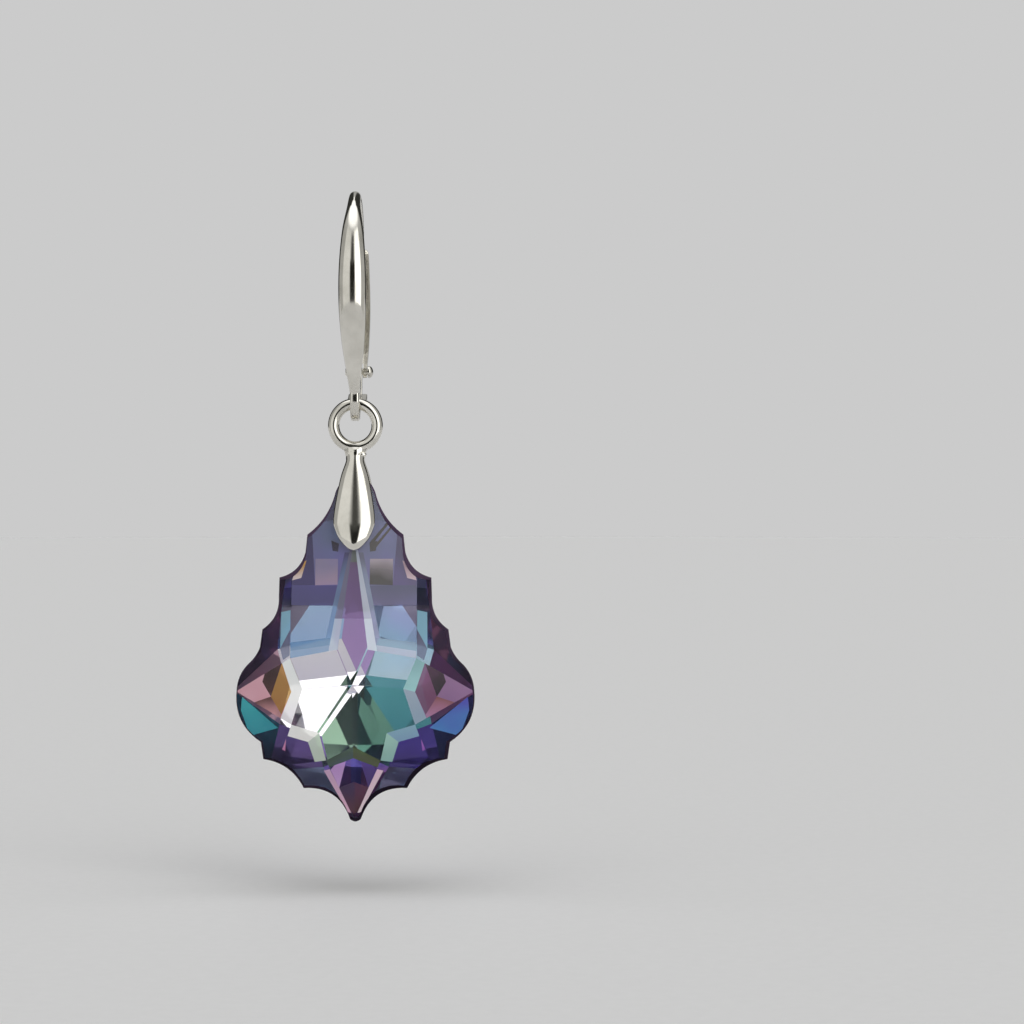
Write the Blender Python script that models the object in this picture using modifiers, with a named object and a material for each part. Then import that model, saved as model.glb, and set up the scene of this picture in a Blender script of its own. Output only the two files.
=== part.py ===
"""Lever-back drop earring with one baroque-cut crystal pendant.

Units are metres, X is to the wearer's right in the front view, Y runs to the back and +Z is up.
The origin is the inner top of the ear wire, the point where the jewel hangs on the ear.
The crystal faces -Y, and the earring is the same on its left and right but for the rivet's heads.
"""
import math

import bmesh
import bpy
from mathutils import Matrix, Vector

MM = 0.001

# Ear wire: a domed leaf in front, a round hook over the top and a short leg behind
WIRE_DIAMETER = 0.72 * MM
LEAF_WIDTH = 1.72 * MM
LEAF_DOME = 0.56 * MM
LEAF_HEIGHT = 12.55 * MM
FRONT_REACH = 3.55 * MM
BACK_REACH = 4.40 * MM
LEG_DROP = 4.20 * MM

# Eye under the leaf, where the drop's ring hangs
STRAP_WIDTH = 0.56 * MM
EYE_WALL = 0.55 * MM
EYE_FOOT = 0.64 * MM
EYE_HEADROOM = 0.74 * MM
EYE_RISE = 0.15 * MM

# Hinge behind the eye
PIN_BACK = 2.60 * MM
PIN_DROP = 10.55 * MM
PIN_DIAMETER = 0.40 * MM
TONGUE_RADIUS = 0.44 * MM
TONGUE_FOOT_SHARE = 0.80
KNUCKLE_WIDTH = 1.20 * MM
KNUCKLE_HEIGHT = 0.85 * MM
KNUCKLE_RISE = 0.64 * MM
KNUCKLE_CORNER = 0.21 * MM
KNUCKLE_ROOT = 0.14 * MM
RIVET_HEAD_DIAMETER = 0.76 * MM
RIVET_HEAD_HEIGHT = 0.33 * MM
RIVET_TAIL_HEIGHT = 0.12 * MM
RIVET_RIM_SHARE = 0.25
RIVET_TAIL_SHARE = 0.80
RIVET_PEEN_SHARE = 0.55

# Lever: a channel that closes on the leg behind the ear
LEVER_DEPTH = 0.86 * MM
LEVER_WALL = 0.22 * MM
LEVER_OVERLAP = 1.65 * MM
LEVER_COLLAR_SHARE = 0.86
CHEEK_WALL = 0.27 * MM
BARREL_STEP = 0.02 * MM

# Pinch bail: a round ring, a short neck and two leaves that hold the stone by two pegs
RING_DIAMETER = 3.46 * MM
RING_WIRE = 0.72 * MM
NECK_WIDTH = 1.24 * MM
NECK_DEPTH = 1.10 * MM
LEAF_ROOT = 0.33 * MM
LEAF_SOLDER = 0.11 * MM
BAIL_LEAF_WIDTH = 2.62 * MM
BAIL_LEAF_LENGTH = 5.90 * MM
BAIL_LEAF_DOME = 0.52 * MM
BAIL_LEAF_BACK = 0.16 * MM
PEG_DIAMETER = 0.60 * MM
PEG_GAP = 1.25 * MM

# Crystal: a symmetric cut, its front and back alike
STONE_HEIGHT = 22.0 * MM
STONE_WIDTH = 15.0 * MM
STONE_DEPTH = 7.2 * MM
STONE_HOLE_FROM_TOP = 3.90 * MM
PETAL_TILT = math.radians(15.0)
UPPER_PETAL_TURN = math.radians(30.0)
BASE_PETAL_TILT = math.radians(13.9)
GIRDLE_TAPER = math.radians(14.0)

# Clearances between pieces
PIN_CLEARANCE = 0.05 * MM
HINGE_CLEARANCE = 0.06 * MM
HEAD_CLEARANCE = 0.05 * MM
SLOT_ROOM = 0.11 * MM
LEG_CLEARANCE = 0.04 * MM
LEVER_SET = 0.05 * MM
EYE_CLEARANCE = 0.24 * MM
RING_CLEARANCE = 0.09 * MM
BAIL_TOP_CLEARANCE = 0.90 * MM
LEAF_CLEARANCE = 0.12 * MM
PEG_CLEARANCE = 0.30 * MM

# Fineness of the round stretches
WIRE_SIDES = 12
RING_STEPS = 32
RING_SIDES = 12
PIN_SIDES = 16
ARC_STEPS = 5
LOFT_STEPS = 3

# Sizes and places that follow from these
WIRE_RADIUS = WIRE_DIAMETER / 2
EYE_INNER_DEPTH = RING_WIRE + 2 * EYE_CLEARANCE
EYE_INNER_HEIGHT = RING_WIRE + EYE_HEADROOM
EYE_CENTRE_UP = -LEAF_HEIGHT + EYE_RISE
EYE_BOTTOM_UP = EYE_CENTRE_UP - EYE_INNER_HEIGHT / 2
PIN_POINT = Vector((0.0, PIN_BACK, -PIN_DROP))
FORK_WIDTH = STRAP_WIDTH + 2 * HINGE_CLEARANCE + 2 * CHEEK_WALL
LEVER_WIDTH = (WIRE_DIAMETER + 2 * LEG_CLEARANCE + 2 * LEVER_WALL) / LEVER_COLLAR_SHARE
LEVER_HEIGHT = PIN_DROP - LEG_DROP + LEVER_OVERLAP
LEVER_BACK = BACK_REACH + LEVER_SET
RING_RADIUS = (RING_DIAMETER - RING_WIRE) / 2
SWING_UP = EYE_BOTTOM_UP + RING_CLEARANCE + RING_WIRE / 2
RING_CENTRE_UP = SWING_UP - RING_RADIUS
NECK_TOP_UP = RING_CENTRE_UP - RING_RADIUS
LEAF_TOP_UP = NECK_TOP_UP - RING_WIRE
STONE_TOP_UP = LEAF_TOP_UP - BAIL_TOP_CLEARANCE
STONE_TIP_UP = STONE_TOP_UP - STONE_HEIGHT
STONE_HOLE_UP = STONE_TOP_UP - STONE_HOLE_FROM_TOP
STONE_HOLE = PEG_DIAMETER + 2 * PEG_CLEARANCE
BLANK_DEPTH = STONE_DEPTH + 0.4 * MM

# Sections of the leaf, from its foot up to the front of the hook.
# Columns: part, reach as a share of the front reach, drop from the top of the hook as a share,
# width as a share of the leaf width, front bulge and back bulge as shares of the leaf dome
LEAF_TABLE = (
    ("foot", 0.20, 1.000, 0.30, 0.42, 0.42),
    ("ankle", 0.27, 0.947, 0.37, 0.50, 0.45),
    ("taper", 0.49, 0.854, 0.56, 0.70, 0.32),
    ("low leaf", 0.74, 0.728, 0.81, 0.90, 0.20),
    ("belly", 0.93, 0.582, 0.97, 1.00, 0.18),
    ("high belly", 1.00, 0.436, 1.00, 1.00, 0.18),
    ("shoulder", 0.95, 0.300, 0.92, 0.95, 0.22),
    ("bend", 0.80, 0.174, 0.75, 0.84, 0.35),
    ("rise", 0.54, 0.071, 0.50, 0.70, 0.50),
    ("front of top", 0.28, 0.020, 0.43, 0.64, 0.60),
)

# Sections of the round hook behind the leaf, from its top down to the leg's end.
# Columns: part, reach as a share of the back reach, drop from the top of the hook as a share,
# thickness as a share of the wire diameter
HOOK_TABLE = (
    ("top", 0.00, 0.000, 1.000),
    ("behind top", 0.30, 0.050, 1.000),
    ("fall", 0.60, 0.200, 1.000),
    ("back bend", 0.84, 0.419, 0.960),
    ("leg", 0.97, 0.690, 0.885),
    ("leg end", 1.00, 0.973, 0.810),
    ("leg tip", 1.00, 1.000, 0.470),
)

# Sections of the lever, from the pin up to its free end.
# Columns: part, reach as a share from the pin to the lever's back line, rise as a share of its
# height, width as a share of the lever width, depth as a share of the lever depth
LEVER_TABLE = (
    ("pin", 0.00, 0.000, FORK_WIDTH / LEVER_WIDTH, 0.90),
    ("neck", 0.24, 0.075, 0.86, 0.92),
    ("rise", 0.54, 0.190, 0.93, 1.00),
    ("belly", 0.80, 0.380, 1.00, 1.00),
    ("middle", 0.95, 0.600, 1.00, 1.00),
    ("shoulder", 1.00, 0.800, 0.93, 0.96),
    ("collar", 1.00, 0.945, LEVER_COLLAR_SHARE, 0.90),
    ("end", 0.99, 0.980, 0.80, 0.76),
    ("end edge", 0.98, 1.000, 0.68, 0.56),
)

# Sections of one bail leaf, from the neck down.
# Columns: part, drop as a share of the leaf length, width as a share of the leaf width,
# bulge as a share of the leaf dome
BAIL_TABLE = (
    ("root", 0.000, 0.43, 0.80),
    ("collar", 0.060, 0.45, 0.85),
    ("flare", 0.220, 0.68, 0.95),
    ("upper", 0.480, 0.90, 1.00),
    ("widest", 0.680, 1.00, 1.00),
    ("turn", 0.780, 0.91, 0.95),
    ("lower", 0.870, 0.73, 0.85),
    ("end", 0.945, 0.46, 0.64),
    ("tip", 0.985, 0.25, 0.44),
    ("point", 1.000, 0.08, 0.26),
)

# Sections of the bail's neck, from the ring's centre line down into the leaves.
# Columns: drop as a share of the ring's wire, width and depth as shares of the neck's
NECK_TABLE = (
    (0.00, 1.16, 0.72),
    (0.35, 1.14, 0.95),
    (0.75, 1.00, 1.00),
    (1.25, 0.94, 1.10),
)

# Right half of the stone's outline, from its crown down to its point.
# Columns: corner, distance from the axis as a share of the half width, height above the point
# as a share of the height, hollow of the arc to the next corner as a share of its chord
OUTLINE_TABLE = (
    ("crown", 0.000, 1.000, -0.12),
    ("crown side", 0.167, 0.945, 0.09),
    ("first tip", 0.404, 0.823, -0.02),
    ("first foot", 0.420, 0.773, 0.15),
    ("second tip", 0.639, 0.700, -0.04),
    ("second foot", 0.644, 0.645, 0.14),
    ("third tip", 0.783, 0.551, -0.03),
    ("third foot", 0.803, 0.500, 0.06),
    ("lobe shoulder", 0.893, 0.455, -0.10),
    ("lobe", 1.000, 0.375, -0.15),
    ("hip foot", 0.796, 0.228, 0.04),
    ("hip tip", 0.775, 0.179, 0.13),
    ("low tip", 0.435, 0.096, 0.19),
    ("point side", 0.045, 0.007, -0.08),
)

# Corners of the star of facets on each face.
# Columns: share of the half width, share of the height above the point
STAR = {
    "centre": (0.000, 0.402),
    "kite side": (0.124, 0.500),
    "kite top": (0.000, 0.818),
    "inner side": (0.417, 0.389),
    "upper outer": (0.524, 0.474),
    "lower outer": (0.513, 0.286),
    "lower inner": (0.280, 0.264),
    "base side": (0.227, 0.185),
    "base top": (0.000, 0.225),
    "lobe tip": (1.000, 0.375),
    "shoulder": (0.527, 0.718),
    "hip": (0.653, 0.164),
    "point": (0.000, 0.011),
}

PARTS = bpy.data.collections.new("drop_earring")
HELPERS = bpy.data.collections.new("helpers")


def clear_scene():
    """Remove what the scene holds and hang up the two collections."""
    for item in list(bpy.data.objects):
        bpy.data.objects.remove(item, do_unlink=True)
    bpy.context.scene.collection.children.link(PARTS)
    bpy.context.scene.collection.children.link(HELPERS)


def new_object(name, mesh, helper=False):
    """Make an object of a mesh, in the parts' or the helpers' collection."""
    item = bpy.data.objects.new(name, mesh)
    if helper:
        HELPERS.objects.link(item)
        item.hide_render = True
        item.display_type = "WIRE"
    else:
        PARTS.objects.link(item)
    return item


def finish_mesh(body, name):
    """Turn a bmesh with its faces pointing out into a mesh."""
    bmesh.ops.recalc_face_normals(body, faces=body.faces)
    mesh = bpy.data.meshes.new(name)
    body.to_mesh(mesh)
    body.free()
    return mesh


def material(name, colour, roughness, metallic):
    """Make a Principled material."""
    made = bpy.data.materials.new(name)
    made.use_nodes = True
    shader = made.node_tree.nodes["Principled BSDF"]
    shader.inputs["Base Color"].default_value = (*colour, 1.0)
    shader.inputs["Roughness"].default_value = roughness
    shader.inputs["Metallic"].default_value = metallic
    return made


def combine(item, other, operation):
    """Join or cut an object with a helper by an exact Boolean."""
    step = item.modifiers.new(f"{operation.lower()} {other.name}", "BOOLEAN")
    step.operation = operation
    step.solver = "EXACT"
    step.object = other


def smooth_rows(rows, steps=LOFT_STEPS):
    """Fill in rows of numbers along a smooth curve that passes through each row."""
    filled = []
    last = len(rows) - 1
    for index in range(last):
        before = rows[max(index - 1, 0)]
        start = rows[index]
        end = rows[index + 1]
        after = rows[min(index + 2, last)]
        for step in range(steps):
            t = step / steps
            filled.append(tuple(blend(before[k], start[k], end[k], after[k], t) for k in range(len(start))))
    filled.append(tuple(rows[last]))
    return filled


def blend(before, start, end, after, t):
    """Give the Catmull-Rom value between start and end."""
    slope_in = (end - before) / 2
    slope_out = (after - start) / 2
    cube = t ** 3
    square = t ** 2
    value = (2 * cube - 3 * square + 1) * start + (cube - 2 * square + t) * slope_in
    return value + (3 * square - 2 * cube) * end + (cube - square) * slope_out


def skin(name, rings):
    """Loft a closed body through rings with the same number of points."""
    body = bmesh.new()
    made = [[body.verts.new(point) for point in ring] for ring in rings]
    count = len(rings[0])
    for low, high in zip(made, made[1:]):
        for index in range(count):
            after = (index + 1) % count
            body.faces.new((low[index], low[after], high[after], high[index]))
    body.faces.new(made[0])
    body.faces.new(made[-1])
    return finish_mesh(body, name)


def outward(points, index):
    """Give the unit normal of a path in the YZ plane, to the left of its direction."""
    start = points[max(index - 1, 0)]
    end = points[min(index + 1, len(points) - 1)]
    along = (end - start).normalized()
    return Vector((0.0, -along.z, along.y))


def oval_ring(centre, normal, half_width, front, back):
    """Give one section: an oval with a bulge of its own on each side of its width."""
    ring = []
    for index in range(WIRE_SIDES):
        turn = 2 * math.pi * index / WIRE_SIDES
        bulge = front if math.sin(turn) > 0 else back
        ring.append(centre + Vector((half_width * math.cos(turn), 0, 0)) + normal * bulge * math.sin(turn))
    return ring


def plate(name, outlines, half_width, centre_x=0.0):
    """Make a flat plate in the YZ plane; the first outline is its edge and the others are holes."""
    curve = bpy.data.curves.new(name, "CURVE")
    curve.dimensions = "2D"
    curve.fill_mode = "BOTH"
    curve.extrude = half_width
    for outline in outlines:
        spline = curve.splines.new("POLY")
        spline.points.add(len(outline) - 1)
        for point, (back, up) in zip(spline.points, outline):
            point.co = (back, up, 0.0, 1.0)
        spline.use_cyclic_u = True
    holder = new_object(name + "_curve", curve, helper=True)
    bpy.context.view_layer.update()
    mesh = bpy.data.meshes.new_from_object(holder.evaluated_get(bpy.context.evaluated_depsgraph_get()))
    bpy.data.objects.remove(holder, do_unlink=True)
    upright = Matrix(((0, 0, 1, centre_x), (1, 0, 0, 0), (0, 1, 0, 0), (0, 0, 0, 1)))
    mesh.transform(upright)
    body = bmesh.new()
    body.from_mesh(mesh)
    bmesh.ops.remove_doubles(body, verts=body.verts, dist=0.001 * MM)
    bpy.data.meshes.remove(mesh)
    return finish_mesh(body, name)


def oval(centre_back, centre_up, half_depth, half_height, count):
    """List the points of an oval in the YZ plane."""
    turns = [2 * math.pi * index / count for index in range(count)]
    return [(centre_back + half_depth * math.cos(t), centre_up + half_height * math.sin(t)) for t in turns]


def crosswise_cylinder(name, radius, length, centre):
    """Make a cylinder along X as a helper."""
    body = bmesh.new()
    turn = Matrix.Translation(centre) @ Matrix.Rotation(math.pi / 2, 4, "Y")
    bmesh.ops.create_cone(body, cap_ends=True, segments=PIN_SIDES, radius1=radius, radius2=radius,
                          depth=length, matrix=turn)
    return new_object(name, finish_mesh(body, name), helper=True)


def lengthwise_cylinder(name, radius, length, centre):
    """Make a cylinder along Y as a helper."""
    body = bmesh.new()
    turn = Matrix.Translation(centre) @ Matrix.Rotation(math.pi / 2, 4, "X")
    bmesh.ops.create_cone(body, cap_ends=True, segments=PIN_SIDES, radius1=radius, radius2=radius,
                          depth=length, matrix=turn)
    return new_object(name, finish_mesh(body, name), helper=True)


def build_ear_wire(metal):
    """Build the leaf, hook and leg with the eye and the hinge tongue below, all one casting."""
    rows = []
    for _, reach, drop, width, front, back in LEAF_TABLE:
        up = WIRE_RADIUS - drop * (LEAF_HEIGHT + WIRE_RADIUS)
        rows.append((-reach * FRONT_REACH, up, width * LEAF_WIDTH / 2, front * LEAF_DOME, back * LEAF_DOME))
    for _, reach, drop, thickness in HOOK_TABLE:
        up = WIRE_RADIUS - drop * (LEG_DROP + WIRE_RADIUS)
        rows.append((reach * BACK_REACH, up) + (thickness * WIRE_RADIUS,) * 3)
    filled = smooth_rows(rows)
    path = [Vector((0.0, row[0], row[1])) for row in filled]
    rings = []
    for index, (_, _, half_width, front, back) in enumerate(filled):
        rings.append(oval_ring(path[index], outward(path, index), half_width, front, back))
    wire = new_object("ear_wire", skin("ear_wire", rings))

    inner_depth = EYE_INNER_DEPTH / 2
    inner_height = EYE_INNER_HEIGHT / 2
    eye_edge = oval(0.0, EYE_CENTRE_UP, inner_depth + EYE_WALL, inner_height + EYE_FOOT, 28)
    eye_hole = oval(0.0, EYE_CENTRE_UP, inner_depth, inner_height, 24)
    eye = new_object("eye", plate("eye", (eye_edge, eye_hole), STRAP_WIDTH / 2), helper=True)
    combine(wire, eye, "UNION")

    # The knuckle reaches back from the eye, and the tongue stands on it up to the pin
    knuckle_top = -LEAF_HEIGHT + KNUCKLE_RISE
    knuckle_bottom = knuckle_top - KNUCKLE_HEIGHT
    front = inner_depth + KNUCKLE_ROOT
    back = PIN_BACK + TONGUE_RADIUS
    corner = KNUCKLE_CORNER
    knuckle_edge = (
        (front, knuckle_bottom),
        (back - 2 * corner, knuckle_bottom),
        (back - corner / 2, knuckle_bottom + corner),
        (back, knuckle_top - corner),
        (back - corner / 2, knuckle_top),
        (front, knuckle_top),
    )
    knuckle = new_object("knuckle", plate("knuckle", (knuckle_edge,), KNUCKLE_WIDTH / 2), helper=True)
    combine(wire, knuckle, "UNION")
    top_half = [math.pi * index / 10 for index in range(11)]
    tongue_edge = [(PIN_BACK + TONGUE_RADIUS * math.cos(t), -PIN_DROP + TONGUE_RADIUS * math.sin(t))
                   for t in top_half]
    middle = (knuckle_top + knuckle_bottom) / 2
    foot = TONGUE_FOOT_SHARE * TONGUE_RADIUS
    tongue_edge += [(PIN_BACK - foot, middle), (PIN_BACK + foot, middle)]
    tongue = new_object("tongue", plate("tongue", (tongue_edge,), STRAP_WIDTH / 2), helper=True)
    combine(wire, tongue, "UNION")
    bore_radius = PIN_DIAMETER / 2 + PIN_CLEARANCE
    combine(wire, crosswise_cylinder("tongue_bore", bore_radius, 2 * STRAP_WIDTH, PIN_POINT), "DIFFERENCE")
    wire.data.materials.append(metal)
    return wire


def build_lever(metal):
    """Build the lever: a channel open to the front, forked round the tongue at its foot."""
    rows = []
    for _, reach, rise, width, depth in LEVER_TABLE:
        back = PIN_BACK + reach * (LEVER_BACK - PIN_BACK)
        rows.append((back, -PIN_DROP + rise * LEVER_HEIGHT, width * LEVER_WIDTH / 2, depth * LEVER_DEPTH / 2))
    filled = smooth_rows(rows)
    path = [Vector((0.0, row[0], row[1])) for row in filled]
    rings = []
    channel_rings = []
    for index, (_, _, half_width, half_depth) in enumerate(filled):
        forward = outward(path, index)
        rings.append(oval_corners(path[index], forward, half_width, half_depth))
        floor = path[index] - forward * (half_depth - LEVER_WALL)
        mouth = path[index] + forward * 2 * LEVER_DEPTH
        side = Vector((half_width - LEVER_WALL, 0, 0))
        channel_rings.append([floor - side, floor + side, mouth + side, mouth - side])
    barrel_radius = LEVER_TABLE[0][4] * LEVER_DEPTH / 2
    collar = (len(LEVER_TABLE) - 3) * LOFT_STEPS
    del channel_rings[collar + 1:]
    top_shift = (path[collar] - path[collar - 1]).normalized() * 2 * LEVER_DEPTH
    foot_shift = (path[0] - path[1]).normalized() * 2 * barrel_radius
    channel_rings.append([point + top_shift for point in channel_rings[-1]])
    channel_rings.insert(0, [point + foot_shift for point in channel_rings[0]])
    lever = new_object("lever", skin("lever", rings))
    barrel = crosswise_cylinder("barrel", barrel_radius, FORK_WIDTH - 2 * BARREL_STEP, PIN_POINT)
    combine(lever, barrel, "UNION")
    combine(lever, new_object("channel", skin("channel", channel_rings), helper=True), "DIFFERENCE")

    # The fork's slot takes the tongue, with room to turn
    slot_half = STRAP_WIDTH / 2 + HINGE_CLEARANCE
    slot_low = -PIN_DROP - 2 * barrel_radius
    slot_high = -PIN_DROP + TONGUE_RADIUS + SLOT_ROOM
    slot_edge = (
        (PIN_BACK - 2 * LEVER_DEPTH, slot_low),
        (PIN_BACK + 2 * LEVER_DEPTH, slot_low),
        (PIN_BACK + 2 * LEVER_DEPTH, slot_high),
        (PIN_BACK - 2 * LEVER_DEPTH, slot_high),
    )
    slot = new_object("fork_slot", plate("fork_slot", (slot_edge,), slot_half), helper=True)
    combine(lever, slot, "DIFFERENCE")
    bore_radius = PIN_DIAMETER / 2 + PIN_CLEARANCE
    combine(lever, crosswise_cylinder("lever_bore", bore_radius, 2 * FORK_WIDTH, PIN_POINT), "DIFFERENCE")
    lever.data.materials.append(metal)
    return lever


def oval_corners(centre, forward, half_width, half_depth):
    """Give a lever section: flat in front, with rounded corners behind."""
    across = (-1.0, -1.0, -0.72, -0.3, 0.3, 0.72, 1.0, 1.0)
    ahead = (1.0, -0.15, -0.72, -1.0, -1.0, -0.72, -0.15, 1.0)
    return [centre + Vector((half_width * a, 0, 0)) + forward * half_depth * b for a, b in zip(across, ahead)]


def build_hinge_pin(metal):
    """Turn the rivet: a domed head on the +X side and a low peened end on the other."""
    shank = PIN_DIAMETER / 2
    head = RIVET_HEAD_DIAMETER / 2
    inner = FORK_WIDTH / 2 + HEAD_CLEARANCE
    profile = []
    for step in range(5):
        turn = math.pi / 2 * step / 4
        rise = RIVET_RIM_SHARE + (1 - RIVET_RIM_SHARE) * math.cos(turn)
        profile.append((head * math.sin(turn), inner + RIVET_HEAD_HEIGHT * rise))
    profile += [(head, inner), (shank, inner), (shank, -inner), (head * RIVET_TAIL_SHARE, -inner)]
    profile += [(head * RIVET_PEEN_SHARE, -inner - RIVET_TAIL_HEIGHT), (0.0, -inner - RIVET_TAIL_HEIGHT)]
    mesh = bpy.data.meshes.new("hinge_pin")
    mesh.from_pydata([(radius, 0.0, up) for radius, up in profile],
                     [(index, index + 1) for index in range(len(profile) - 1)], [])
    pin = new_object("hinge_pin", mesh)
    turned = pin.modifiers.new("turned", "SCREW")
    turned.steps = PIN_SIDES
    turned.render_steps = PIN_SIDES
    turned.use_merge_vertices = True
    turned.merge_threshold = 0.005 * MM
    pin.rotation_euler = (0.0, math.pi / 2, 0.0)
    pin.location = PIN_POINT
    mesh.materials.append(metal)
    return pin


def build_bail(metal, face):
    """Build the ring, the neck and the two leaves with their pegs, all soldered into one."""
    bpy.ops.mesh.primitive_torus_add(
        location=(0.0, 0.0, RING_CENTRE_UP), rotation=(math.pi / 2, 0.0, 0.0),
        major_segments=RING_STEPS, minor_segments=RING_SIDES,
        major_radius=RING_RADIUS, minor_radius=RING_WIRE / 2)
    bail = bpy.context.active_object
    bail.name = "pinch_bail"
    for owner in list(bail.users_collection):
        owner.objects.unlink(bail)
    PARTS.objects.link(bail)

    neck_rings = []
    for drop, width, depth in NECK_TABLE:
        centre = Vector((0.0, 0.0, NECK_TOP_UP - drop * RING_WIRE))
        ring = []
        for index in range(WIRE_SIDES):
            turn = 2 * math.pi * index / WIRE_SIDES
            offset = (width * NECK_WIDTH / 2 * math.cos(turn), depth * NECK_DEPTH / 2 * math.sin(turn), 0.0)
            ring.append(centre + Vector(offset))
        neck_rings.append(ring)
    neck = new_object("neck", skin("neck", neck_rings), helper=True)
    combine(bail, neck, "UNION")

    for side in (-1, 1):
        rows = []
        for _, drop, width, bulge in BAIL_TABLE:
            up = LEAF_TOP_UP + LEAF_SOLDER - drop * BAIL_LEAF_LENGTH
            clear = max(face(up) + LEAF_CLEARANCE + BAIL_LEAF_BACK, LEAF_ROOT)
            rows.append((clear, up, width * BAIL_LEAF_WIDTH / 2, bulge * BAIL_LEAF_DOME))
        filled = smooth_rows(rows, 2)
        path = [Vector((0.0, side * row[0], row[1])) for row in filled]
        rings = []
        for index, (_, _, half_width, bulge) in enumerate(filled):
            away = outward(path, index) * side
            rings.append(oval_ring(path[index], away, half_width, bulge, BAIL_LEAF_BACK))
        name = "front_leaf" if side < 0 else "back_leaf"
        leaf = new_object(name, skin(name, rings), helper=True)
        combine(bail, leaf, "UNION")
        root = face(STONE_HOLE_UP) + LEAF_CLEARANCE + BAIL_LEAF_BACK
        peg_centre = Vector((0.0, side * (root + PEG_GAP / 2) / 2, STONE_HOLE_UP))
        peg = lengthwise_cylinder(name + "_peg", PEG_DIAMETER / 2, root - PEG_GAP / 2, peg_centre)
        combine(bail, peg, "UNION")
    bail.data.materials.append(metal)
    return bail


def star_point(name, side=1):
    """Give a corner of the star in the plane of the face, as X and height above the centre."""
    across, up = STAR[name]
    return Vector((side * across * STONE_WIDTH / 2, (up - STAR["centre"][1]) * STONE_HEIGHT))


def petal_slopes():
    """Give the slopes of the four petals of one side.

    The edge between two petals runs square to the difference of their slopes, so the corners at
    the petals' edges fix one part of each slope after the upper petal's.
    """
    tilt = math.tan(PETAL_TILT)
    upper = Vector((tilt * math.cos(UPPER_PETAL_TURN), tilt * math.sin(UPPER_PETAL_TURN)))
    edge = star_point("kite side")
    kite = Vector((0.0, upper.y + upper.x * edge.x / edge.y))
    edge = star_point("inner side")
    lower = Vector((upper.x + 2 * upper.y * edge.y / edge.x, -upper.y))
    edge = star_point("lower inner")
    base_drop = -math.tan(BASE_PETAL_TILT)
    base = Vector((lower.x + (lower.y - base_drop) * edge.y / edge.x, base_drop))
    return {"kite": kite, "upper": upper, "lower": lower, "base": base}


def plane_through(corners):
    """Give the slope and fall at the centre of the plane through three (point, fall) corners."""
    (first, fall_1), (second, fall_2), (third, fall_3) = corners
    one = second - first
    two = third - first
    area = one.x * two.y - one.y * two.x
    slope_x = ((fall_2 - fall_1) * two.y - (fall_3 - fall_1) * one.y) / area
    slope_z = ((fall_3 - fall_1) * one.x - (fall_2 - fall_1) * two.x) / area
    return Vector((slope_x, slope_z)), fall_1 - slope_x * first.x - slope_z * first.y


def facet_planes():
    """Give each facet of one face as its slope and its fall at the star's centre."""
    petals = petal_slopes()

    def fall(name, petal):
        return star_point(name).dot(petals[petal])

    def at(name, plane):
        return star_point(name).dot(plane[0]) + plane[1]

    right = {name: (slope, 0.0) for name, slope in petals.items()}
    kite_top = (star_point("kite top"), fall("kite top", "kite"))
    kite_side = (star_point("kite side"), fall("kite side", "kite"))
    upper_outer = (star_point("upper outer"), fall("upper outer", "upper"))
    inner_side = (star_point("inner side"), fall("inner side", "upper"))
    lower_outer = (star_point("lower outer"), fall("lower outer", "lower"))
    lower_inner = (star_point("lower inner"), fall("lower inner", "lower"))
    base_side = (star_point("base side"), fall("base side", "base"))
    base_other = (star_point("base side", -1), fall("base side", "base"))
    base_top = (star_point("base top"), fall("base top", "base"))
    right["upper field"] = plane_through((kite_top, kite_side, upper_outer))
    right["lobe"] = plane_through((inner_side, upper_outer, lower_outer))
    right["lower field"] = plane_through((lower_outer, lower_inner, base_side))
    right["base kite"] = plane_through((base_top, base_side, base_other))
    lobe_tip = (star_point("lobe tip"), at("lobe tip", right["lobe"]))
    shoulder = (star_point("shoulder"), at("shoulder", right["upper field"]))
    hip = (star_point("hip"), at("hip", right["lower field"]))
    right["upper wing"] = plane_through((upper_outer, lobe_tip, shoulder))
    right["lower wing"] = plane_through((lower_outer, lobe_tip, hip))
    point = (star_point("point"), at("point", right["base kite"]))
    right["low bevel"] = plane_through((base_side, hip, point))
    planes = list(right.values())
    for name, (slope, start) in right.items():
        if name not in ("kite", "base kite"):
            planes.append((Vector((-slope.x, slope.y)), start))
    return planes


def half_depth_at(across, up):
    """Give the stone's half thickness at a place of its face."""
    place = Vector((across, up - (STONE_TIP_UP + STAR["centre"][1] * STONE_HEIGHT)))
    return STONE_DEPTH / 2 - max(place.dot(slope) + start for slope, start in facet_planes())


def arc(start, end, hollow):
    """List points along an arc between two corners, without the last."""
    chord = end - start
    inward = Vector((-chord.y, chord.x))
    points = []
    for step in range(ARC_STEPS):
        t = step / ARC_STEPS
        points.append(start + chord * t - inward * hollow * 4 * t * (1 - t))
    return points


def stone_outline():
    """List the outline's points all the way round, as X and height."""
    corners = [Vector((across * STONE_WIDTH / 2, STONE_TIP_UP + up * STONE_HEIGHT))
               for _, across, up, _ in OUTLINE_TABLE]
    corners.append(Vector((0.0, STONE_TIP_UP)))
    right = []
    for index, row in enumerate(OUTLINE_TABLE):
        steps = arc(corners[index], corners[index + 1], row[3])
        right += steps if abs(row[3]) > 0.05 else steps[:1]
    left = [Vector((-point.x, point.y)) for point in reversed(right[1:])]
    return right + [corners[-1]] + left


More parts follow.
